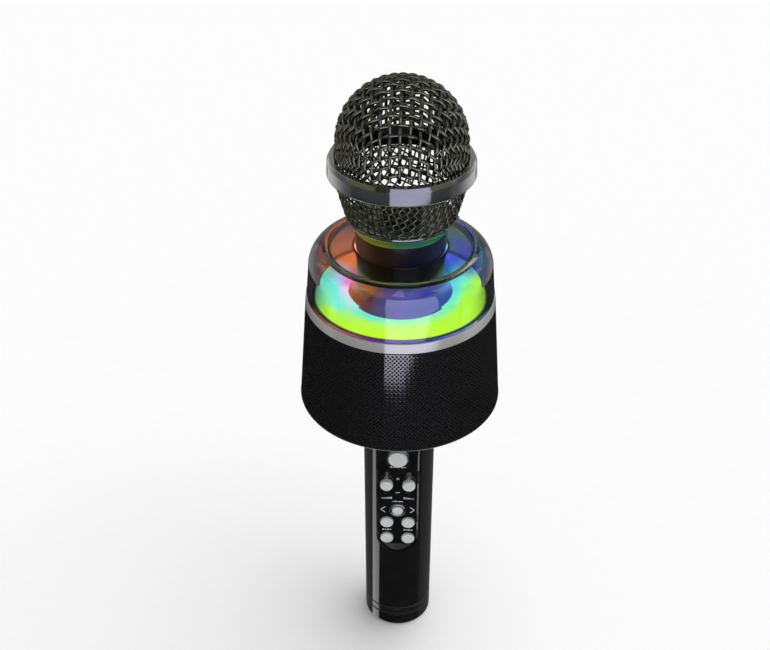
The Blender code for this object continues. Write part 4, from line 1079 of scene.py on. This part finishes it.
def lay_net(profile, pitch, reach):
    """Lay out a quarter of the net; returns {(column, row): place} up to a length of profile."""
    count = int(reach / pitch) + 2
    quarter = {(0, 0): (0.0, 0.0, on_pressing(profile, 0.0, 0.0))}
    for step in range(1, count):
        for turn, key in ((0.0, (step, 0)), (math.pi / 2.0, (0, step))):
            length = pitch * step
            for _ in range(8):
                before = quarter[(step - 1, 0) if key[1] == 0 else (0, step - 1)][2]
                length += pitch - (on_pressing(profile, length, turn) - before).length
            quarter[key] = (length, turn, on_pressing(profile, length, turn))
    limit = reach + 1.5 * pitch
    for row in range(1, count):
        for column in range(1, count):
            needed = [(column - 1, row), (column, row - 1), (column - 1, row - 1)]
            if not all(key in quarter for key in needed):
                break
            made = next_crossing(profile, pitch, *(quarter[key] for key in needed))
            if made[0] > limit or not 0.0 < made[1] < math.pi / 2.0:
                break
            quarter[(column, row)] = made
    net = {}
    for (column, row), (length, turn, place) in quarter.items():
        for flip_x in (1, -1):
            for flip_y in (1, -1):
                key = (column * flip_x, row * flip_y)
                net[key] = Vector((place.x * flip_x, place.y * flip_y, place.z))
    return net


def outward(place, centre_z, stretch):
    """Return the direction straight out of a pressing at a place."""
    way = Vector((place.x, place.y, (place.z - centre_z) * stretch))
    return way.normalized()


def smooth_run(points):
    """Pass a smooth curve through points, with a few samples between each two."""
    run = []
    for index in range(len(points) - 1):
        before = points[max(index - 1, 0)]
        start = points[index]
        end = points[index + 1]
        after = points[min(index + 2, len(points) - 1)]
        for sample in range(SAMPLES):
            share = sample / SAMPLES
            square = share * share
            cube = square * share
            place = (before * (-cube + 2.0 * square - share)
                     + start * (3.0 * cube - 5.0 * square + 2.0)
                     + end * (-3.0 * cube + 4.0 * square + share) + after * (cube - square)) * 0.5
            run.append(place)
    run.append(points[-1])
    return run


def weave(name, net, wire, lift, centre_z, stretch, keep, turn):
    """Make the wires of a net: each goes over one wire and under the next."""
    curve = bpy.data.curves.new(name, "CURVE")
    curve.dimensions = "3D"
    curve.bevel_depth = wire / 2.0
    curve.bevel_resolution = 2
    curve.use_fill_caps = True
    reach = max(max(abs(column), abs(row)) for column, row in net)
    spin = Matrix.Rotation(turn, 3, "Z")
    for along_rows in (True, False):
        for lane in range(-reach, reach + 1):
            points = []
            for step in range(-reach, reach + 1):
                key = (step, lane) if along_rows else (lane, step)
                if key not in net:
                    continue
                side = 1.0 if (step + lane) % 2 == 0 else -1.0
                if not along_rows:
                    side = -side
                place = net[key]
                points.append(place + outward(place, centre_z, stretch) * side * wire * lift)
            if len(points) < 2:
                continue
            runs = [[]]
            for place in smooth_run(points):
                if keep(place):
                    runs[-1].append(spin @ place)
                elif runs[-1]:
                    runs.append([])
            for run in runs:
                if len(run) < 3:
                    continue
                spline = curve.splines.new("POLY")
                spline.points.add(len(run) - 1)
                for point, place in zip(spline.points, run):
                    point.co = (*place, 1.0)
    piece = bpy.data.objects.new(name, curve)
    bpy.context.scene.collection.objects.link(piece)
    pick(piece)
    bpy.ops.object.convert(target="MESH")
    bpy.ops.object.mode_set(mode="EDIT")
    bpy.ops.mesh.select_all(action="SELECT")
    bpy.ops.mesh.remove_doubles(threshold=1e-7)
    face_outwards()
    return bpy.context.object


black_wire = surfaced("black_wire", (76, 77, 66), 0.14, (70, 71, 60), (82, 83, 72), (0.11, 0.17),
                      6000.0, 4e-7, metallic=1.0)

bowl_low, bowl_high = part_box("lower_grille")
BOWL_WIRE = 0.00078
BOWL_PITCH = 0.0027
BOWL_START = 0.0190


def open_out_net(wall, pitch, start, end):
    """Fold a flat net up a wall: a crossing's distance from the middle becomes its way up."""
    count = int(end / pitch) + 3
    net = {}
    for column in range(-count, count + 1):
        for row in range(-count, count + 1):
            distance = math.hypot(column, row) * pitch
            if start - 1.5 * pitch < distance < end + 1.5 * pitch:
                radius, height = along_profile(wall, distance - start)
                turn = math.atan2(row, column)
                place = (radius * math.cos(turn), radius * math.sin(turn), height)
                net[(column, row)] = Vector(place)
    return net


wall_points = ((0.0221, bowl_low.z), (0.0241, 0.2280), (0.0255, 0.2340),
               (bowl_high.x, bowl_high.z + 0.0008))
profile = [(radius - BOWL_WIRE, height) for radius, height in wall_points]
bowl_run = run_length(profile)
bowl_net = open_out_net(profile, BOWL_PITCH, BOWL_START, BOWL_START + bowl_run)
bowl = weave("lower_grille_woven", bowl_net, BOWL_WIRE, 0.26, 0.2380, 0.25,
             lambda place: 0.2199 < place.z < bowl_high.z + 0.0003, math.radians(-25.0))
place_piece(bowl, black_wire, "lower_grille", angle=60.0, even=False)

ball_low, ball_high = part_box("upper_grille")
BALL_Z = 0.2501
BALL_WIRE = 0.00132
BALL_PITCH = 0.0036
ball_r = 0.0254 - BALL_WIRE
ball_rise = ball_high.z - BALL_Z - BALL_WIRE
profile = rounded(0.0, BALL_Z, ball_r, ball_rise, 90.0, 0.0, 60)
profile += [(ball_high.x - BALL_WIRE, ball_low.z - 0.0006)]
ball_net = lay_net(profile, BALL_PITCH, run_length(profile))
ball = weave("upper_grille_woven", ball_net, BALL_WIRE, 0.36, BALL_Z, 1.0,
             lambda place: place.z > ball_low.z - 0.0002, 0.0)
place_piece(ball, black_wire, "upper_grille", angle=60.0, even=False)

# ---- Grille band -------------------------------------------------------------------------------
# Heavy ring in black chrome, turned with two chamfers. It clamps the bowl and the dome together
# by their rims.
low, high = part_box("grille_band")
band_r = high.x
shoulder = 0.0273
draft = 0.0002
outline = [(0.0250, high.z), (shoulder, high.z), (band_r - draft, high.z - 0.0017)]
outline += [(band_r, low.z + 0.0010), (shoulder, low.z), (0.0250, low.z)]
band = turn_piece("grille_band_turned", outline, 160)
soften(band, 0.00025, 3, 15.0)
place_piece(band, black_chrome, "grille_band")

# ---- Inner pieces ------------------------------------------------------------------------------
# The speaker, the boards, the switches and the cell keep their own shapes, and each gets the
# finish of what it is made of: steel, black plastic, ferrite, paper, rubber, copper, cloth, film
# or green lacquer.
inner_finishes = (
    ("bare_steel", (178, 178, 180), (200, 200, 202), (0.22, 0.4), 1.0, 4000.0, 1e-6,
     ("speaker_basket", "speaker_yoke", "top_switch", "power_switch", "previous_switch",
      "next_switch", "mode_switch", "light_switch", "volume_slider_body", "echo_slider_body",
      "volume_slider_lever", "echo_slider_lever", "battery_spring", "charge_socket",
      "speaker_screw_1", "speaker_screw_2", "speaker_screw_3", "speaker_screw_4")),
    ("inner_black", (24, 24, 25), (34, 34, 35), (0.4, 0.55), 0.0, 4000.0, 3e-6,
     ("speaker_cage", "battery_cradle", "audio_jack")),
    ("capsule_sleeve", (9, 9, 10), (16, 16, 18), (0.85, 0.95), 0.0, 4000.0, 1e-5,
     ("mic_capsule", "capsule_gasket")),
    ("ferrite", (52, 52, 54), (66, 66, 68), (0.6, 0.8), 0.0, 3000.0, 8e-6,
     ("speaker_magnet",)),
    ("cone_paper", (30, 30, 30), (48, 46, 44), (0.8, 0.95), 0.0, 2500.0, 2e-5,
     ("speaker_cone", "dust_cap")),
    ("soft_rubber", (22, 22, 22), (34, 34, 34), (0.55, 0.75), 0.0, 3000.0, 5e-6,
     ("speaker_surround",)),
    ("copper_wire", (190, 110, 70), (220, 140, 90), (0.25, 0.4), 1.0, 4000.0, 6e-6,
     ("voice_coil",)),
    ("spider_cloth", (176, 140, 84), (196, 160, 104), (0.8, 0.95), 0.0, 2500.0, 2e-5,
     ("speaker_spider",)),
    ("cell_film", (46, 120, 160), (60, 136, 176), (0.25, 0.4), 0.0, 2000.0, 1e-6,
     ("battery_cell",)),
    ("circuit_board", (12, 84, 46), (22, 104, 60), (0.3, 0.45), 0.0, 2500.0, 4e-6,
     ("control_board", "port_board", "led_board")),
)
for name, dark, light, roughs, metal, scale, depth, group in inner_finishes:
    made = surfaced(name, dark, roughs[0], dark, light, roughs, scale, depth, metallic=metal)
    for part in group:
        for holder in parts[part].material_slots:
            holder.material = made
